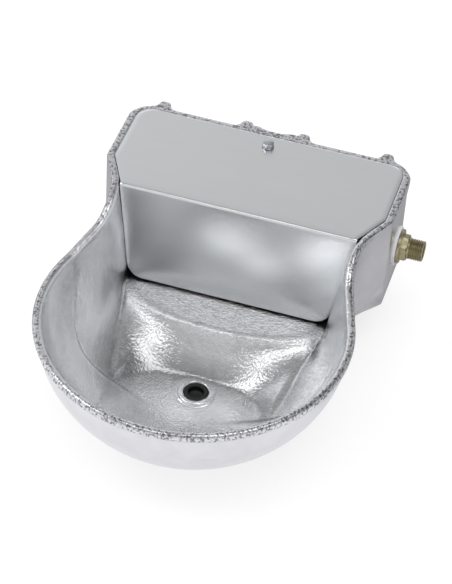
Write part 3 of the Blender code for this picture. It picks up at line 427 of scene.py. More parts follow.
def ledge_height(ax, y, lip_round):
    """Height of the ledge and its apron over the plan, and the share of the way from lip to foot."""
    share = np.zeros_like(ax)
    # The apron narrows with its share, which a few rounds settle
    for _ in range(4):
        narrow = 1 - (1 - APRON_NARROW_SHARE) * np.clip(share, 0, APRON_END_SHARE)
        across = np.clip(ax / narrow, 0, LEDGE_HALF) / LEDGE_HALF
        lip = NECK_Y - LEDGE_NOSE_LEN * np.maximum(0, 1 - across ** LEDGE_CURVE) ** (1 / LEDGE_CURVE)
        foot = BOWL_Y + APRON_FOOT_LEN - APRON_FOOT_SWEEP * across ** 2
        share = (lip - y) / (lip - foot)
    foot_away = np.hypot(across * LEDGE_HALF * APRON_NARROW_SHARE, foot - BOWL_Y) / BASIN_R
    foot_z = -BASIN_DEPTH * np.sqrt(1 - foot_away ** 2)
    flat = -LEDGE_LIP_DEPTH + (LEDGE_LIP_DEPTH - LEDGE_BACK_DEPTH) / (BACK_Y - lip) * (y - lip)
    apron = -LEDGE_LIP_DEPTH + share * (foot_z + LEDGE_LIP_DEPTH)
    bead = LIP_BEAD_RISE * np.exp(-((flat - apron) / LIP_BEAD_FALL) ** 2)
    return smooth_min(flat, apron, lip_round) + bead, share


def ledge_distance(ax, y, z, lip_round):
    """Distance above the ledge and apron, with the ways the surface slopes allowed for."""
    height, share = ledge_height(ax, y, lip_round)
    step, steepest = 0.0005, 4
    by_x = (ledge_height(ax + step, y, lip_round)[0] - height) / step
    by_y = (ledge_height(ax, y + step, lip_round)[0] - height) / step
    slope = np.sqrt(1 + np.minimum(by_x ** 2 + by_y ** 2, steepest))
    return (z - height) / slope, share


def inside_solids(x, ax, y, z):
    """Distances to what stands inside: the inlet's pad with the screw's boss, and the drain's ring."""
    pad = np.maximum(np.hypot(y - INLET_Y, z - INLET_Z) - INLET_PAD_R, BOX_HALF - INLET_PAD_SET - x)
    foot = CHAMBER_RISE - COVER_T - BOSS_LEN - z
    boss = np.maximum(np.hypot(x, y - SCREW_Y) - BOSS_R, foot)
    web = np.maximum(np.maximum(ax - WEB_HALF, SCREW_Y - y), foot)
    boss = np.maximum(np.minimum(boss, web), z - (CHAMBER_RISE - COVER_T - CLEAR))
    ring = np.abs(z - DRAIN_TOP + DRAIN_RING_HALF) - DRAIN_RING_HALF
    ring = np.maximum(np.hypot(x, y - DRAIN_Y) - DRAIN_RING_R, ring)
    return np.minimum(pad, boss), ring


def outside_walls(ax, y, z, ledge):
    """Distance to the basin, chamber and cheeks from outside, with the pocket under the ledge."""
    dome = bowl_distance(OUTER_R, OUTER_DEPTH, ax, y, z)
    shell = smooth_max(plan_distance(OUTER, ax, y, z, 0), -FLOOR_DEPTH - z, SHELL_ROUND)
    # The cheeks' backs slope at 45 degrees
    cheek_back = (y - NECK_Y - CHEEK_BACK_RUN - (z + CHEEK_DEPTH)) * math.sqrt(0.5)
    cheeks = smooth_max(plan_distance(CHEEKS, ax, y, z, 0), -CHEEK_DEPTH - z, SHELL_ROUND)
    cheeks = smooth_max(cheeks, cheek_back, SHELL_ROUND)
    outside = smooth_min(smooth_min(dome, shell, DOME_ROUND), cheeks, CHEEK_ROUND)
    foot = BOWL_Y + APRON_FOOT_LEN - APRON_FOOT_SWEEP * np.minimum(ax / POCKET_FOOT_HALF, 1) ** 2
    pocket = smooth_max(ax - POCKET_HALF, z - ledge + LEDGE_T, SHELL_ROUND)
    pocket = np.maximum(pocket, y - NECK_Y - POCKET_BACK_RUN)
    pocket = smooth_max(pocket, foot + POCKET_FOOT_GAP - y, SHELL_ROUND)
    return smooth_max(outside, -pocket, SHELL_ROUND)


def back_ribs(x, ax, y, z):
    """Distance to the ribs at the back and the saddle between the middle pair."""
    ribs = np.full(x.shape, FAR)
    for place in RIB_PLACES:
        across = np.abs(x - place)
        rib = np.minimum(np.hypot(across, y + RIB_SET) - RIB_R, np.maximum(across - RIB_R, y + RIB_SET))
        ribs = np.minimum(ribs, rib)
    post = SADDLE_R - np.hypot(x, y - (BACK_Y + SADDLE_SET + SADDLE_R))
    ribs = np.minimum(ribs, np.maximum(np.maximum(ax - SADDLE_HALF, y + RIB_SET), post))
    ribs = np.maximum(ribs, BACK_Y - RIB_ROOT_RUN - y)
    return smooth_max(ribs, -RIB_FOOT_DEPTH - z, RIB_FOOT_ROUND)


def openings(x, ax, y, z):
    """Distance to what is cut out: the cover's rebate and the holes for drain, screw, inlet and bolts."""
    rebate_half = np.interp(y, (FOLD_Y, KINK_Y), (FOLD_HALF, BOX_HALF - RIM_LAND))
    cut = np.maximum(np.maximum(ax - rebate_half, box_plan(ax, y, RIM_LAND)), FOLD_Y - y)
    cut = np.maximum(cut, CHAMBER_RISE - COVER_T - CLEAR - z)
    drain_r = DRAIN_R + (z - DRAIN_TOP) * DRAIN_TAPER_SHARE
    drain_end = np.maximum(0, z + DRAIN_END_DEPTH) * DRAIN_END_SLOPE
    drain = np.hypot(x, y - DRAIN_Y) - drain_r + drain_end
    screw = np.maximum(np.hypot(x, y - SCREW_Y) - SCREW_HOLE_R, CHAMBER_RISE - SCREW_HOLE_DEPTH - z)
    inlet = np.maximum(np.hypot(y - INLET_Y, z - INLET_Z) - INLET_HOLE_R, INLET_HOLE_X - x)
    bolts = np.hypot(np.abs(ax - RIB_PLACES[2]), z - BOLT_Z) - BOLT_R
    bolts = np.maximum(bolts, BACK_Y - BOLT_RUN - y)
    for hole in (drain, screw, inlet, bolts):
        cut = np.minimum(cut, hole)
    return cut


def casting_parts(x, y, z):
    """The casting's distance field, with the distances and the share that its finish follows."""
    sizes = settings()
    ax = np.abs(x)
    basin = bowl_distance(BASIN_R, BASIN_DEPTH, ax, y, z)
    trough = plan_distance(INNER, ax, y, z, inner_inset(z))
    trough = smooth_max(trough, -TROUGH_DEPTH - z, TROUGH_FLOOR_ROUND)
    walls = smooth_min(basin, trough, WAIST_ROUND)
    over_ledge, share = ledge_distance(ax, y, z, sizes.lip_round)
    cavity = smooth_max(walls, -over_ledge, sizes.valley_round)
    solids, ring = inside_solids(x, ax, y, z)
    cavity = smooth_max(cavity, -ring, RING_ROUND)
    cavity = smooth_max(cavity, -solids, BOSS_ROUND)

    outside = outside_walls(ax, y, z, ledge_height(ax, y, sizes.lip_round)[0])
    outside = smooth_min(outside, back_ribs(x, ax, y, z), RIB_ROUND)
    outside = smooth_max(outside, y, BACK_ROUND)

    rim = np.interp(y, RISE_Y, RISE_Z) - (bead_r(y) + BEAD_SINK) * fade(y)
    body = smooth_max(outside, -cavity, WALL_TOP_ROUND)
    body = smooth_max(body, z - rim, RIM_TOP_ROUND)
    bead = bead_distance(ax, y, z)
    body = smooth_min(body, bead, BEAD_ROUND)
    body = np.maximum(body, -openings(x, ax, y, z))
    return body, cavity, bead, over_ledge, share, walls


def surface_net(axes, values):
    """Points and quads of the surface where the values change sign on a grid."""
    shape = tuple(n - 1 for n in values.shape)
    corners = []
    places = []
    for axis in range(3):
        ahead = [slice(None)] * 3
        behind = [slice(None)] * 3
        ahead[axis] = slice(1, None)
        behind[axis] = slice(0, -1)
        first, second = values[tuple(behind)], values[tuple(ahead)]
        cell = np.argwhere((first < 0) != (second < 0))
        a, b = first[tuple(cell.T)], second[tuple(cell.T)]
        share = a / (a - b)
        point = np.stack([grid[cell[:, n]] for n, grid in enumerate(axes)], 1)
        grid = axes[axis]
        point[:, axis] += share * (grid[cell[:, axis] + 1] - grid[cell[:, axis]])
        quad = []
        for back_u, back_v in ((1, 1), (0, 1), (0, 0), (1, 0)):
            other = cell.copy()
            other[:, (axis + 1) % 3] -= back_u
            other[:, (axis + 2) % 3] -= back_v
            quad.append(np.ravel_multi_index(other.T, shape))
        quad = np.stack(quad, 1)
        quad[a > 0] = quad[a > 0][:, ::-1]
        corners.append(quad)
        places.append(np.repeat(point, 4, axis=0))
    corners = np.concatenate(corners)
    places = np.concatenate(places)
    _, index = np.unique(corners, return_inverse=True)
    index = index.reshape(-1)
    count = np.bincount(index)
    points = np.stack([np.bincount(index, places[:, n]) / count for n in range(3)], 1)
    return points, index.reshape(-1, 4)


def onto_surface(points):
    """Moves the points along the field's slope onto the casting's surface."""
    step, reach, flattest = 0.0004, 0.001, 0.25
    for _ in range(2):
        value = casting_parts(*points.T)[0]
        ahead = [casting_parts(*(points + axis * step).T)[0] for axis in np.eye(3)]
        slope = np.stack([there - value for there in ahead], 1) / step
        move = value / np.maximum((slope ** 2).sum(1), flattest)
        points = points - np.clip(move, -reach, reach)[:, None] * slope
    return points


def finish_shares(points):
    """How far each of the casting's finishes, and the painted shade in the valleys beside the ledge, reaches at
    each point, from 0 to 1.
    """
    _, cavity, bead, over_ledge, share, walls = casting_parts(*points.T)
    top = points[:, 2] - np.interp(points[:, 1], RISE_Y, RISE_Z)
    on_ledge = np.clip(1 - np.abs(over_ledge) / LEDGE_FADE, 0, 1)
    return {
        "inside": np.clip(1 - cavity / INSIDE_FADE, 0, 1),
        "rim": np.clip(np.maximum(1 - bead / RIM_FADE, 1 + (top + RIM_TOP_SET) / RIM_FADE), 0, 1),
        "ledge": on_ledge * np.clip(1 - share / LEDGE_END_SHARE, 0, 1),
        # Painted shade in the creases where the apron meets the basin's walls
        "valley_shade": np.clip(1 - np.hypot(over_ledge, walls) / VALLEY_SHADE_FADE, 0, 1),
    }


def build_casting():
    """One closed skin over the casting's distance field, with its finishes as attributes."""
    step = settings().mesh_step
    levels = np.concatenate([np.arange(*SKIN_Z, step), TOP_LEVELS])
    axes = (np.arange(*SKIN_X, step), np.arange(*SKIN_Y, step), levels)
    values = casting_parts(*np.meshgrid(*axes, indexing="ij"))[0]
    points, faces = surface_net(axes, values)
    points = onto_surface(points)
    # No point passes the solid's own box
    low = np.array(CAD_BOX[0][:])
    points = np.maximum(points, low)
    points[:, 0] = np.minimum(points[:, 0], -low[0])
    mesh = mesh_of("bowl_casting_skin", points, faces)
    mesh.shade_smooth()
    for name, shares in finish_shares(points).items():
        mesh.attributes.new(name, "FLOAT", "POINT").data.foreach_set("value", shares.astype(np.float32))
    return mesh


# Materials

def add(tree, kind, links=None, **values):
    """Adds a node with its settings and links; a socket as a value is linked and anything else is set."""
    made = tree.nodes.new(kind)
    for name, value in values.items():
        setattr(made, name, value)
    for key, value in (links or {}).items():
        if isinstance(value, bpy.types.NodeSocket):
            tree.links.new(value, made.inputs[key])
        else:
            made.inputs[key].default_value = value
    return made


def new_material(name):
    """An empty material and its node tree."""
    made = bpy.data.materials.new(name)
    made.use_nodes = True
    made.node_tree.nodes.clear()
    return made, made.node_tree


def finish_material(tree, shader):
    add(tree, "ShaderNodeOutputMaterial", {"Surface": shader.outputs[0]})


def place_node(tree, scale=(1, 1, 1)):
    """Object coordinates, stretched by a scale."""
    place = add(tree, "ShaderNodeTexCoord").outputs["Object"]
    return add(tree, "ShaderNodeMapping", {"Vector": place, "Scale": scale}).outputs[0]


def galvanised_cast_iron():
    """Hot-dip galvanised sand casting: bright zinc over the mould's grain, which breaks light into sparks, with
    painted shade in the valleys beside the ledge and in the pits of the rim and ledge.
    """
    made, tree = new_material("hot_dip_galvanised_sand_cast_iron")
    place = place_node(tree)
    shares = ("inside", "rim", "ledge", "valley_shade")
    inside, rim, ledge, valley_shade = (add(tree, "ShaderNodeAttribute", attribute_name=share).outputs["Fac"]
                                  for share in shares)
    # Sand grain about 2.4 mm wide, ripples about 4 mm wide and pools of zinc about 25 mm wide
    grain = add(tree, "ShaderNodeTexNoise", {"Vector": place, "Scale": 420.0, "Detail": 2.0,
                                             "Roughness": 0.55, "Distortion": 0.2})
    ripples = add(tree, "ShaderNodeTexNoise", {"Vector": place, "Scale": 250.0, "Detail": 2.0,
                                               "Roughness": 0.5, "Distortion": 0.4})
    clouds = add(tree, "ShaderNodeTexNoise", {"Vector": place, "Scale": 38.0, "Detail": 3.0,
                                              "Distortion": 0.6})
    # The grain is finest outside, stronger inside and strongest on the rim and the ledge
    coarse = add(tree, "ShaderNodeMath", {0: rim, 1: 0.3, 2: ledge}, operation="MULTIPLY_ADD")
    plain = add(tree, "ShaderNodeMapRange", {"Value": inside, "To Min": 0.05, "To Max": 0.42})
    strength = add(tree, "ShaderNodeMath", {0: coarse.outputs[0], 1: 0.80, 2: plain.outputs[0]},
                   operation="MULTIPLY_ADD")
    fine = add(tree, "ShaderNodeBump", {"Strength": strength.outputs[0], "Distance": 0.0010,
                                        "Height": grain.outputs[0]})
    strength = add(tree, "ShaderNodeMapRange", {"Value": inside, "To Min": 0.03, "To Max": 0.20})
    broad = add(tree, "ShaderNodeBump", {"Strength": strength.outputs[0], "Distance": 0.0014,
                                         "Height": ripples.outputs[0], "Normal": fine.outputs[0]})
    # Cloudy zinc, with painted shade in the valleys beside the ledge
    tone = add(tree, "ShaderNodeMapRange", {"Value": clouds.outputs[0], "From Min": 0.25, "From Max": 0.75,
                                            "To Min": 0.88, "To Max": 1.0})
    tone = add(tree, "ShaderNodeMath", {0: valley_shade, 1: -0.42, 2: tone.outputs[0]}, operation="MULTIPLY_ADD")
    # Pits in the coarse grain of the rim and the ledge, darkened nearly black with painted shade
    pit_shade = add(tree, "ShaderNodeMapRange", {"Value": grain.outputs[0], "From Min": 0.42, "From Max": 0.50,
                                            "To Min": -0.60, "To Max": 0.0})
    brim = add(tree, "ShaderNodeMath", {0: rim, 1: inside}, operation="SUBTRACT", use_clamp=True)
    brim = add(tree, "ShaderNodeMapRange", {"Value": brim.outputs[0], "From Min": 0.45, "From Max": 0.95})
    brim = add(tree, "ShaderNodeMath", {0: ledge, 1: 0.20, 2: brim.outputs[0]}, operation="MULTIPLY_ADD")
    pit_shade = add(tree, "ShaderNodeMath", {0: pit_shade.outputs[0], 1: brim.outputs[0]}, operation="MULTIPLY")
    tone = add(tree, "ShaderNodeMath", {0: tone.outputs[0], 1: pit_shade.outputs[0]}, operation="ADD")
    # The inside's zinc is painted lighter than the outside's, as painted light for the basin's hollow
    inner, outer = (*settings().lit_inside_zinc_colour, 1), (*settings().shell_colour, 1)
    painted_light_coat = add(tree, "ShaderNodeMix", {"Factor": inside, 6: outer, 7: inner}, data_type="RGBA")
    base = add(tree, "ShaderNodeMix", {"Factor": 1.0, 6: painted_light_coat.outputs[2], 7: tone.outputs[0]},
               data_type="RGBA", blend_type="MULTIPLY")
    polish = add(tree, "ShaderNodeMapRange", {"Value": clouds.outputs[0], "From Min": 0.2, "From Max": 0.8,
                                              "To Min": 0.17, "To Max": 0.27})
    shader = add(tree, "ShaderNodeBsdfPrincipled", {"Base Color": base.outputs[2], "Metallic": 1.0,
                                                    "Roughness": polish.outputs[0],
                                                    "Normal": broad.outputs[0]})
    finish_material(tree, shader)
    return made


def brushed_stainless():
    """Stainless sheet with a fine satin brushing along X, which draws reflections out across it."""
    made, tree = new_material("satin_brushed_stainless_sheet")
    # Brush lines 0.25 mm apart and 60 mm long
    along = place_node(tree, (16, 4000, 4000))
    lines = add(tree, "ShaderNodeTexNoise", {"Vector": along, "Scale": 1.0, "Detail": 2.0})
    # Clouds about 80 mm long and 33 mm wide
    along = place_node(tree, (12, 30, 30))
    clouds = add(tree, "ShaderNodeTexNoise", {"Vector": along, "Scale": 1.0, "Detail": 3.0})
    tone = add(tree, "ShaderNodeMapRange", {"Value": lines.outputs[0], "From Min": 0.3, "From Max": 0.7,
                                            "To Min": 0.93, "To Max": 1.0})
    sheet = (*settings().cover_colour, 1)
    base = add(tree, "ShaderNodeMix", {"Factor": 1.0, 6: sheet, 7: tone.outputs[0]},
               data_type="RGBA", blend_type="MULTIPLY")
    polish = add(tree, "ShaderNodeMapRange", {"Value": clouds.outputs[0], "From Min": 0.0, "From Max": 1.0,
                                              "To Min": 0.22, "To Max": 0.28})
    bump = add(tree, "ShaderNodeBump", {"Strength": 0.05, "Distance": 0.0001, "Height": lines.outputs[0]})
    shader = add(tree, "ShaderNodeBsdfPrincipled", {"Base Color": base.outputs[2], "Metallic": 1.0,
                                                    "Roughness": polish.outputs[0], "Anisotropic": 0.3,
                                                    "Normal": bump.outputs[0]})
    finish_material(tree, shader)
    return made


def machined_brass():
    """Turned brass a little dulled by water, with greenish low places and a cloudy polish."""
    made, tree = new_material("machined_brass")
    # Clouds about 4 mm wide
    clouds = add(tree, "ShaderNodeTexNoise", {"Vector": place_node(tree), "Scale": 260.0, "Detail": 3.0})
    fresh = (*settings().brass_colour, 1)
    dulling = (0.55, 0.62, 0.62, 1)
    dull = tuple(part * share for part, share in zip(fresh, dulling))
    base = add(tree, "ShaderNodeMix", {"Factor": clouds.outputs[0], 6: fresh, 7: dull}, data_type="RGBA")
    polish = add(tree, "ShaderNodeMapRange", {"Value": clouds.outputs[0], "To Min": 0.20, "To Max": 0.40})
    shader = add(tree, "ShaderNodeBsdfPrincipled", {"Base Color": base.outputs[2], "Metallic": 1.0,
                                                    "Roughness": polish.outputs[0]})
    finish_material(tree, shader)
    return made


def plain_finish(name, code, roughness, metallic=0.0, grain=900.0, ior=1.5):
    """A moulded or plated surface with the slight tooth and cloudiness that such parts have."""
    made, tree = new_material(name)
    place = place_node(tree)
    # Tooth about 1 mm wide, coarser than the real one so that it shows, and clouds about 14 mm wide
    tooth = add(tree, "ShaderNodeTexNoise", {"Vector": place, "Scale": grain, "Detail": 2.0})
    clouds = add(tree, "ShaderNodeTexNoise", {"Vector": place, "Scale": 70.0, "Detail": 2.0})
    tone = add(tree, "ShaderNodeMapRange", {"Value": clouds.outputs[0], "From Min": 0.3, "From Max": 0.7,
                                            "To Min": 0.9, "To Max": 1.0})
    base = add(tree, "ShaderNodeMix", {"Factor": 1.0, 6: (*linear(code), 1), 7: tone.outputs[0]},
               data_type="RGBA", blend_type="MULTIPLY")
    spread = 0.06
    polish = add(tree, "ShaderNodeMapRange", {"Value": tooth.outputs[0], "To Min": roughness - spread,
                                              "To Max": roughness + spread})
    bump = add(tree, "ShaderNodeBump", {"Strength": 0.3, "Distance": 0.00005, "Height": tooth.outputs[0]})
    values = {"Base Color": base.outputs[2], "Metallic": metallic, "Roughness": polish.outputs[0],
              "Normal": bump.outputs[0]}
    if not metallic:
        values["IOR"] = ior
    finish_material(tree, add(tree, "ShaderNodeBsdfPrincipled", values))
    return made


MADE = {}


def finish_of(name):
    """Each finish is made once and shared by the pieces that have it."""
    makers = {
        "galvanised_iron": galvanised_cast_iron,
        "brushed_stainless": brushed_stainless,
        "brass": machined_brass,
        # Bright zinc plate: pale, slightly blue, fairly sharp reflections
        "zinc_steel": lambda: plain_finish("bright_zinc_plated_steel", "#C9CCD0", 0.24, 1.0),
        # Moulded nylon: milky white with a soft sheen
        "nylon": lambda: plain_finish("moulded_white_nylon", "#F3F3F6", 0.42, ior=1.53),
        # Moulded rubber: near black and matt, with a soft grey edge light
        "black_rubber": lambda: plain_finish("moulded_black_rubber", "#0B0D0F", 0.48, grain=1400.0, ior=1.52),
        # Turned acetal: smooth off-white
        "acetal": lambda: plain_finish("turned_white_acetal", "#E2E1DA", 0.35, ior=1.48),
        # Blow-moulded float: orange polyethylene, waxy and faintly pebbled
        "float_plastic": lambda: plain_finish("blow_moulded_orange_polyethylene", "#D9772B", 0.48,
                                              grain=500.0, ior=1.54),
    }
    if name not in MADE:
        MADE[name] = makers[name]()
    return MADE[name]


def dress(item, finish, body, *nodes):
    """Gives a finished piece its material and ties it to its CAD body and nodes."""
    item.data.materials.clear()
    item.data.materials.append(finish_of(finish))
    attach(item, body)
    if nodes:
        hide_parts(*nodes)


# Pieces

class BOWL_OT_casting(bpy.types.Operator):
    """Builds the galvanised casting with its basin, ledge, waist, beaded rim and ribs"""
    bl_idname = "bowl.casting"
    bl_label = "Casting"

    def execute(self, context):
        item = show("bowl_casting_skin", build_casting())
        dress(item, "galvanised_iron", "casting", "bowl_casting")
        return {"FINISHED"}


def cover_rows():
    """Rows of the cover from its rear edge over the fold to the flap's foot: half width, y, z, bow."""
    half = BOX_HALF - RIM_LAND - COVER_GAP
    radius = BOX_CORNER_R - RIM_LAND - COVER_GAP
    rear = BACK_Y - RIM_LAND - COVER_GAP
    rows = []
    for turn in np.linspace(0, math.pi / 2, 9):
        across = half - radius + radius * math.sin(turn)
        rows.append((across, rear - radius * (1 - math.cos(turn)), CHAMBER_RISE, 0))
    kink = KINK_Y + RIM_LAND * COVER_KINK_SHARE
    for y in np.linspace(rows[-1][1], kink, 10)[1:]:
        rows.append((half, y, CHAMBER_RISE, 0))
    fold_half = FOLD_HALF - COVER_GAP
    for share in np.linspace(0, 1, 6)[1:]:
        rows.append((half + share * (fold_half - half), kink + share * (FOLD_Y - kink), CHAMBER_RISE, 0))
    lean = math.atan2(FLAP_LEAN, CHAMBER_RISE + FLAP_DEPTH - FOLD_R)
    for turn in np.linspace(math.pi / 2, math.pi - lean, 9)[1:]:
        height = CHAMBER_RISE - FOLD_R + FOLD_R * math.sin(turn)
        rows.append((fold_half, FOLD_Y + FOLD_R * math.cos(turn), height, 0))
    _, start_y, start_z, _ = rows[-1]
    length = (start_z + FLAP_DEPTH) / math.cos(lean)
    taper = (fold_half - FLAP_FOOT_HALF) / length
    straight = length - FLAP_CORNER_R
    corner = straight + FLAP_CORNER_R * np.sin(np.linspace(0, math.pi / 2, 9))
    for along in (*np.linspace(0, straight, 14)[1:-1], *corner):
        across = fold_half - taper * along
        deep = max(0, along - straight)
        across -= FLAP_CORNER_R - math.sqrt(max(0, FLAP_CORNER_R ** 2 - deep ** 2))
        bow = math.sin(math.pi * min(1, along / length))
        rows.append((across, start_y - along * math.sin(lean), start_z - along * math.cos(lean), bow))
    return rows


class BOWL_OT_cover(bpy.types.Operator):
    """Folds the chamber's lid sheet, with its flap bowed slightly outwards"""
    bl_idname = "bowl.cover"
    bl_label = "Chamber Cover"

    def execute(self, context):
        rows = cover_rows()
        columns = np.linspace(-1, 1, 49)
        bulge = settings().cover_bulge
        points = []
        for half, y, z, bow in rows:
            push = bulge * bow * np.cos(columns * math.pi / 2)
            points.append(np.stack([half * columns, y - push, z + 0 * columns], 1))
        count = len(columns)
        i = np.arange(count - 1)
        faces = []
        for row in range(len(rows) - 1):
            a, b = row * count, (row + 1) * count
            faces += np.stack([a + i, a + i + 1, b + i + 1, b + i], 1)[:, ::-1].tolist()
        item = show("chamber_cover_sheet", mesh_of("chamber_cover_sheet", np.concatenate(points), faces))
        # The flat top faces up before the sheet gets its thickness
        flat_row = 12
        if item.data.polygons[count * flat_row].normal.z < 0:
            item.data.flip_normals()
        sheet = item.modifiers.new("sheet", "SOLIDIFY")
        sheet.thickness = COVER_T
        sheet.offset = -1
        sheet.use_even_offset = True
        cutter = [(0.01, SCREW_HOLE_R), (0.04, SCREW_HOLE_R)]
        hole = turned("cover_hole", cutter, "Z", (0, SCREW_Y, 0), 32)
        cut = item.modifiers.new("hole", "BOOLEAN")
        cut.object = hole
        cut.operation = "DIFFERENCE"
        edge = item.modifiers.new("edge", "BEVEL")
        edge.width = COVER_EDGE_R
        edge.segments = 2
        edge.angle_limit = math.radians(50)
        settle(item)
        bpy.data.objects.remove(hole)
        smooth(item.data, 40)
        dress(item, "brushed_stainless", "cover", "chamber_cover")
        return {"FINISHED"}


class BOWL_OT_cover_fixing(bpy.types.Operator):
    """Turns the cover's hexagon screw and its washer"""
    bl_idname = "bowl.cover_fixing"
    bl_label = "Cover Screw and Washer"

    def execute(self, context):
        low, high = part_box("cover_screw")
        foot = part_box("cover_washer")[1][2] + CLEAR
        top = high[2]
        edge, chamfer, face_round = 0.0002, 0.0009, 0.0003
        shank_r, tip_r, tip_len, flats = 0.003, 0.0023, 0.0008, 0.010
        chamfer_r, foot_r, corner_r, face_r = 0.0049, 0.0056, 0.0057, 0.0043
        rows = [(low[2], tip_r), (low[2] + tip_len, shank_r), (foot - edge, shank_r)]
        # The head's hexagon is turned down at its foot and at its top
        for place, cap in ((foot, chamfer_r), (foot + edge, foot_r),
                           (top - chamfer, corner_r), (top - face_round, chamfer_r)):
            rows.append((place, hexagon(flats, cap)))
        rows.append((top, face_r))
        screw = turned("cover_screw_body", rows, "Z", (0, SCREW_Y, 0))
        smooth(screw.data, 30)
        dress(screw, "zinc_steel", "screw", "cover_screw")

        low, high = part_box("cover_washer")
        washer_r, rim_r, edge = 0.006, 0.0057, 0.0002
        rows = [(low[2], SCREW_HOLE_R), (low[2], rim_r), (low[2] + edge, washer_r),
                (high[2] - edge, washer_r), (high[2], rim_r), (high[2], SCREW_HOLE_R)]
        washer = turned("cover_washer_body", rows, "Z", (0, SCREW_Y, 0), 64, closed=False)
        smooth(washer.data)
        dress(washer, "zinc_steel", "cover", "cover_washer")
        return {"FINISHED"}


class BOWL_OT_drain_plug(bpy.types.Operator):
    """Turns the rubber drain plug with its finger recess"""
    bl_idname = "bowl.drain_plug"
    bl_label = "Drain Plug"

    def execute(self, context):
        low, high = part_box("drain_plug")
        top = high[2]
        centre_r, recess_r, recess_wall_r, recess_depth, floor_round = 0.0005, 0.0068, 0.0074, 0.0067, 0.0007
        lip_r, lip_round, land_r, outer_round = 0.0088, 0.0012, 0.0103, 0.0014
        foot_r, foot_end_r, foot_edge = 0.0108, 0.0100, 0.0008
        rows = [(top - recess_depth, centre_r), (top - recess_depth, recess_r),
                (top - recess_depth + floor_round, recess_wall_r), (top - lip_round, lip_r - lip_round)]
        quarter = np.linspace(0, math.pi / 2, 7)
        for turn in quarter:
            rows.append((top - lip_round * (1 - math.sin(turn)), lip_r - lip_round * math.cos(turn)))
        for turn in quarter:
            rows.append((top - outer_round * (1 - math.cos(turn)), land_r + outer_round * math.sin(turn)))
        rows += [(low[2] + foot_edge, foot_r), (low[2], foot_end_r)]
        plug = turned("drain_plug_body", rows, "Z", (0, DRAIN_Y, 0), 72)
        smooth(plug.data, 50)
        dress(plug, "black_rubber", "plug", "drain_plug")
        return {"FINISHED"}


def pipe_thread_tree():
    """Geometry nodes that press a V thread into whatever part of a mesh lies between two places along X."""
    tree = bpy.data.node_groups.new("pipe_thread", "GeometryNodeTree")
    face = tree.interface
    face.new_socket("Geometry", in_out="INPUT", socket_type="NodeSocketGeometry")
    for name, value in (("Pitch", 0.001814), ("Depth", 0.001), ("Start", 0.0), ("End", 0.1), ("Axis Y", 0.0),
                        ("Axis Z", 0.0)):
        face.new_socket(name, in_out="INPUT", socket_type="NodeSocketFloat").default_value = value
    face.new_socket("Material", in_out="INPUT", socket_type="NodeSocketMaterial")
    face.new_socket("Geometry", in_out="OUTPUT", socket_type="NodeSocketGeometry")
    into = add(tree, "NodeGroupInput").outputs
    place = add(tree, "ShaderNodeSeparateXYZ", {0: add(tree, "GeometryNodeInputPosition").outputs[0]}).outputs
    y = add(tree, "ShaderNodeMath", {0: place[1], 1: into["Axis Y"]}, operation="SUBTRACT").outputs[0]
    z = add(tree, "ShaderNodeMath", {0: place[2], 1: into["Axis Z"]}, operation="SUBTRACT").outputs[0]
    angle = add(tree, "ShaderNodeMath", {0: z, 1: y}, operation="ARCTAN2").outputs[0]
    turns = add(tree, "ShaderNodeMath", {0: angle, 1: 2 * math.pi}, operation="DIVIDE").outputs[0]
    along = add(tree, "ShaderNodeMath", {0: place[0], 1: into["Pitch"]}, operation="DIVIDE").outputs[0]
    phase = add(tree, "ShaderNodeMath", {0: along, 1: turns}, operation="SUBTRACT").outputs[0]
    wave = add(tree, "ShaderNodeMath", {0: phase, 1: 0.5}, operation="PINGPONG").outputs[0]
    # A V with narrow flats at its crest and root
    groove = add(tree, "ShaderNodeMapRange", {"Value": wave, "From Min": 0.07, "From Max": 0.43}).outputs[0]
    # The thread fades in over its first turn and stops at its end
    full = add(tree, "ShaderNodeMath", {0: into["Start"], 1: into["Pitch"]}).outputs[0]
    out_share = add(tree, "ShaderNodeMapRange", {"Value": place[0], "From Min": into["Start"],
                                                 "From Max": full})
    inside_end = add(tree, "ShaderNodeMath", {0: place[0], 1: into["End"]}, operation="LESS_THAN").outputs[0]
    depth = add(tree, "ShaderNodeMath", {0: groove, 1: into["Depth"]}, operation="MULTIPLY").outputs[0]
    depth = add(tree, "ShaderNodeMath", {0: depth, 1: out_share.outputs[0]}, operation="MULTIPLY").outputs[0]
    depth = add(tree, "ShaderNodeMath", {0: depth, 1: inside_end}, operation="MULTIPLY").outputs[0]
    outward = add(tree, "ShaderNodeCombineXYZ", {1: y, 2: z}).outputs[0]
    outward = add(tree, "ShaderNodeVectorMath", {0: outward}, operation="NORMALIZE").outputs[0]
    inward = add(tree, "ShaderNodeMath", {0: depth, 1: -1.0}, operation="MULTIPLY").outputs[0]
    move = add(tree, "ShaderNodeVectorMath", {0: outward, "Scale": inward}, operation="SCALE").outputs[0]
    # The bore stays plain
    squares = [add(tree, "ShaderNodeMath", {0: part, 1: part}, operation="MULTIPLY").outputs[0]
               for part in (y, z)]
    radius = add(tree, "ShaderNodeMath", {0: squares[0], 1: squares[1]}).outputs[0]
    radius = add(tree, "ShaderNodeMath", {0: radius}, operation="SQRT").outputs[0]
    outer = add(tree, "ShaderNodeMath", {0: radius, 1: 0.009}, operation="GREATER_THAN").outputs[0]
    moved = add(tree, "GeometryNodeSetPosition", {"Geometry": into["Geometry"], "Selection": outer,
                                                  "Offset": move})
    real = add(tree, "GeometryNodeRealizeInstances", {0: moved.outputs[0]})
    coated = add(tree, "GeometryNodeSetMaterial", {"Geometry": real.outputs[0], "Material": into["Material"]})
    add(tree, "NodeGroupOutput", {0: coated.outputs[0]})
    return tree


def grow(item, tree, values):
    """Puts a node tree on a piece, sets its inputs by their identifiers, and settles the piece."""
    step = item.modifiers.new(tree.name, "NODES")
    step.node_group = tree
    for socket in tree.interface.items_tree:
        if socket.in_out == "INPUT" and socket.name in values:
            step[socket.identifier] = values[socket.name]
    return settle(item)


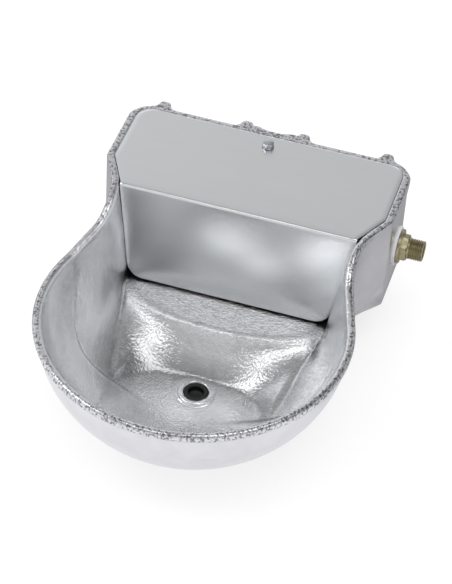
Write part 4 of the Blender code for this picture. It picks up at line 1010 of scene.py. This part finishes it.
class BOWL_OT_inlet(bpy.types.Operator):
    """Turns the brass inlet nipple with flange, hexagon and pipe thread, and the nylon washer behind it"""
    bl_idname = "bowl.inlet"
    bl_label = "Inlet Nipple and Washer"

    def execute(self, context):
        low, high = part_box("inlet_nipple")
        washer_low, washer_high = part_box("outer_washer")
        inner, end = low[0], high[0]
        axis = (0, INLET_Y, INLET_Z)
        flange_len, flange_r, flange_rim_r, flange_edge = 0.0028, 0.017, 0.0166, 0.0004
        hex_len, flats = 0.0066, 0.024
        thread_r, bore_r, start_r, end_r, mouth_r = 0.010478, 0.0072, 0.0098, 0.0095, 0.0078
        step, edge, chamfer = 0.0002, 0.0006, 0.0012
        count = 120
        flange = washer_high[0] + CLEAR
        hex_foot = flange + flange_len
        hex_end = hex_foot + hex_len
        rows = [(inner, bore_r), (inner, start_r), (inner + edge, thread_r)]
        rows += [(x, thread_r) for x in np.linspace(inner + edge + step, flange - step, 60)]
        rows += [(flange, flange_rim_r), (flange + flange_edge, flange_r), (hex_foot - flange_edge, flange_r),
                 (hex_foot, flange_rim_r)]
        # The hexagon's outer end is turned down to a chamfer
        for place, cap in ((hex_foot + step / 2, 0.0136), (hex_end - chamfer, 0.0137),
                           (hex_end - chamfer / 4, 0.0122)):
            rows.append((place, hexagon(flats, cap, count)))
        rows += [(hex_end, 0.0114), (hex_end + step / 4, thread_r)]
        rows += [(x, thread_r) for x in np.linspace(hex_end + 2 * step, end - 4 * step, 110)]
        # The thread's end is chamfered outside and in
        rows += [(end - 2 * step, 0.0099), (end, end_r), (end, mouth_r), (end - edge, bore_r)]
        nipple = turned("inlet_nipple_body", rows, "X", axis, count, closed=False)
        sizes = settings()
        grow(nipple, pipe_thread_tree(), {"Pitch": sizes.thread_pitch, "Depth": sizes.thread_depth,
                                          "Start": hex_end + edge, "End": end - 0.0005, "Axis Y": INLET_Y,
                                          "Axis Z": INLET_Z, "Material": finish_of("brass")})
        smooth(nipple.data, 32)
        dress(nipple, "brass", "casting", "inlet_nipple")

        back, front = washer_low[0], washer_high[0]
        rim_r, edge = 0.0197, 0.0006
        rows = [(back, INLET_HOLE_R), (back, rim_r - edge), (back + edge, rim_r), (front - 0.0008, rim_r),
                (front - 0.0002, rim_r - 0.0005), (front, rim_r - 0.0011), (front, INLET_HOLE_R)]
        washer = turned("outer_washer_body", rows, "X", axis, closed=False)
        smooth(washer.data)
        dress(washer, "nylon", "casting", "outer_washer")
        return {"FINISHED"}


class BOWL_OT_float_valve(bpy.types.Operator):
    """Finishes the float valve's own pieces inside the chamber"""
    bl_idname = "bowl.float_valve"
    bl_label = "Float Valve"

    def execute(self, context):
        for part in frame["record"]["subparts"]:
            item = frame["nodes"][part["node"]]
            if item.hide_render:
                continue
            for slot in item.material_slots:
                slot.material = finish_of(part["material_slot"])
        return {"FINISHED"}


# Studio

def plainly_seen(tree, path):
    """1 for what the camera sees directly or through glass, and 0 for reflections and light."""
    return add(tree, "ShaderNodeMath", {0: path["Is Camera Ray"], 1: path["Is Transmission Ray"]},
               operation="MAXIMUM").outputs[0]


class BOWL_OT_studio(bpy.types.Operator):
    """Sets the pale floor, the soft lamps, the white surroundings and the camera at the photograph's angle"""
    bl_idname = "bowl.studio"
    bl_label = "Studio"

    def execute(self, context):
        scene = context.scene
        scene.view_settings.view_transform = "Standard"
        self.lay_floor()
        self.set_world(scene)
        self.set_lamps(scene)
        self.set_camera(scene)
        return {"FINISHED"}

    def lay_floor(self):
        made, tree = new_material("pale_matt_floor")
        path = add(tree, "ShaderNodeLightPath").outputs
        # Reflections find the floor darker towards the wall, where the room is
        along = add(tree, "ShaderNodeSeparateXYZ", {0: place_node(tree)}).outputs[1]
        depth = add(tree, "ShaderNodeMapRange", {"Value": along, "From Min": -0.35, "From Max": 0.10,
                                                 "To Min": 0.62, "To Max": 0.0},
                    interpolation_type="SMOOTHSTEP")
        mirrored = add(tree, "ShaderNodeMath", {0: path["Is Glossy Ray"], 1: depth.outputs[0]},
                       operation="MULTIPLY")
        lift = add(tree, "ShaderNodeMath", {0: plainly_seen(tree, path), 1: 0.66, 2: mirrored.outputs[0]},
                   operation="MULTIPLY_ADD")
        glow = add(tree, "ShaderNodeEmission", {"Color": (1, 1, 1, 1), "Strength": lift.outputs[0]})
        matt = add(tree, "ShaderNodeBsdfDiffuse", {"Color": (0.42, 0.42, 0.42, 1)})
        finish_material(tree, add(tree, "ShaderNodeAddShader", {0: glow.outputs[0], 1: matt.outputs[0]}))
        z, half = CAD_BOX[0][2], 6
        corners = [(-half, -half, z), (half, -half, z), (half, half, z), (-half, half, z)]
        floor = show("studio_floor", mesh_of("studio_floor", corners, [[0, 1, 2, 3]]))
        floor.data.materials.append(made)

    def set_world(self, scene):
        world = bpy.data.worlds.new("white_surroundings")
        world.use_nodes = True
        scene.world = world
        tree = world.node_tree
        tree.nodes.clear()
        path = add(tree, "ShaderNodeLightPath").outputs
        # Reflections see a tent that is white low down and darker overhead, where its mouth is
        towards = add(tree, "ShaderNodeTexCoord").outputs["Generated"]
        way = add(tree, "ShaderNodeSeparateXYZ", {0: towards})
        tent = add(tree, "ShaderNodeMapRange", {"Value": way.outputs[2], "From Min": 0.15, "From Max": 0.75,
                                                "To Min": 1.00, "To Max": 0.40},
                   interpolation_type="SMOOTHSTEP")
        # A black flag at the back on the right, and a white panel at the back that the cover mirrors
        facing = add(tree, "ShaderNodeVectorMath", {0: towards, 1: (0.60, 0.55, 0.58)},
                     operation="DOT_PRODUCT").outputs["Value"]
        flag = add(tree, "ShaderNodeMapRange", {"Value": facing, "From Min": 0.55, "From Max": 0.95,
                                                "To Min": 1.0, "To Max": 0.55},
                   interpolation_type="SMOOTHSTEP")
        tent = add(tree, "ShaderNodeMath", {0: tent.outputs[0], 1: flag.outputs[0]}, operation="MULTIPLY")
        facing = add(tree, "ShaderNodeVectorMath", {0: towards, 1: (-0.25, 0.68, 0.69)},
                     operation="DOT_PRODUCT").outputs["Value"]
        panel = add(tree, "ShaderNodeMapRange", {"Value": facing, "From Min": 0.86, "From Max": 0.975,
                                                 "To Min": 0.0, "To Max": 0.22},
                    interpolation_type="SMOOTHSTEP")
        tent = add(tree, "ShaderNodeMath", {0: tent.outputs[0], 1: panel.outputs[0]}, operation="ADD")
        shine = add(tree, "ShaderNodeMath", {0: path["Is Glossy Ray"], 1: tent.outputs[0]},
                    operation="MULTIPLY")
        # The camera sees plain white, reflections see the tent, and the rest lights the bowl evenly
        plain = plainly_seen(tree, path)
        seen = add(tree, "ShaderNodeMath", {0: plain, 1: path["Is Glossy Ray"]}, operation="MAXIMUM")
        fill = 0.85
        strength = add(tree, "ShaderNodeMath", {0: seen.outputs[0], 1: -fill, 2: fill},
                       operation="MULTIPLY_ADD")
        strength = add(tree, "ShaderNodeMath", {0: strength.outputs[0], 1: shine.outputs[0]}, operation="ADD")
        strength = add(tree, "ShaderNodeMath", {0: strength.outputs[0], 1: plain}, operation="ADD")
        sky = add(tree, "ShaderNodeBackground", {"Color": (1, 1, 1, 1), "Strength": strength.outputs[0]})
        add(tree, "ShaderNodeOutputWorld", {"Surface": sky.outputs[0]})

    def set_lamps(self, scene):
        aim = Vector((0, -0.2, -0.03))
        # Name, place, side and power in watts
        lamps = (("left", (-1.01, -0.53, 1.03), 0.6, 3.0), ("overhead", (0.46, -0.38, 1.39), 0.8, 3.0),
                 ("front", (-0.24, -0.80, 1.33), 0.36, 1.0))
        for name, place, side, power in lamps:
            light = bpy.data.lights.new("softbox_" + name, "AREA")
            light.shape = "SQUARE"
            light.size = side
            light.energy = power
            lamp = bpy.data.objects.new("softbox_" + name, light)
            lamp.location = place
            lamp.rotation_euler = (aim - Vector(place)).to_track_quat("-Z", "Y").to_euler()
            scene.collection.objects.link(lamp)

    def set_camera(self, scene):
        azimuth, height, roll = (math.radians(angle) for angle in (15.53, 43.80, 3.28))
        distance, focal_px, frame_px = 2.1875, 2400.0, 584
        level = Vector((math.cos(azimuth), math.sin(azimuth), 0))
        back = Vector((math.sin(azimuth) * math.cos(height), -math.cos(azimuth) * math.cos(height),
                       math.sin(height)))
        rise = back.cross(level)
        right = math.cos(roll) * level + math.sin(roll) * rise
        up = -math.sin(roll) * level + math.cos(roll) * rise
        # The aim is this many pixels off the rim's centre, which lies at pixel 194.4, 319.5
        aside_px, above_px = 31.62, 27.49
        away = (back - right * (aside_px / focal_px) - up * (above_px / focal_px)).normalized()
        right = up.cross(away).normalized()
        up = away.cross(right)
        data = bpy.data.cameras.new("photograph_camera")
        data.lens = focal_px / frame_px * data.sensor_width
        camera = bpy.data.objects.new("photograph_camera", data)
        turn = Matrix((right, up, away)).transposed().to_4x4()
        camera.matrix_world = Matrix.Translation(Vector((0, BOWL_Y, 0)) + back * distance) @ turn
        scene.collection.objects.link(camera)
        scene.camera = camera


class BOWL_PT_pieces(bpy.types.Panel):
    """The bowl's sizes and colours, and a button for each of its pieces"""
    bl_idname = "BOWL_PT_pieces"
    bl_label = "Drinking Bowl"
    bl_space_type = "VIEW_3D"
    bl_region_type = "UI"
    bl_category = "Drinking Bowl"

    def draw(self, context):
        layout = self.layout
        for name in BowlSettings.__annotations__:
            layout.prop(context.scene.drinking_bowl, name)
        for operator in OPERATORS:
            layout.operator(operator.bl_idname)


OPERATORS = (BOWL_OT_studio, BOWL_OT_casting, BOWL_OT_cover, BOWL_OT_cover_fixing, BOWL_OT_drain_plug,
             BOWL_OT_inlet, BOWL_OT_float_valve)
CLASSES = (BowlSettings,) + OPERATORS + (BOWL_PT_pieces,)


def register():
    for item in CLASSES:
        bpy.utils.register_class(item)
    bpy.types.Scene.drinking_bowl = PointerProperty(type=BowlSettings)


def unregister():
    del bpy.types.Scene.drinking_bowl
    for item in reversed(CLASSES):
        bpy.utils.unregister_class(item)


def main():
    register()
    bpy.ops.bowl.studio()
    bpy.ops.bowl.casting()
    bpy.ops.bowl.cover()
    bpy.ops.bowl.cover_fixing()
    bpy.ops.bowl.drain_plug()
    bpy.ops.bowl.inlet()
    bpy.ops.bowl.float_valve()


if __name__ == "__main__":
    main()
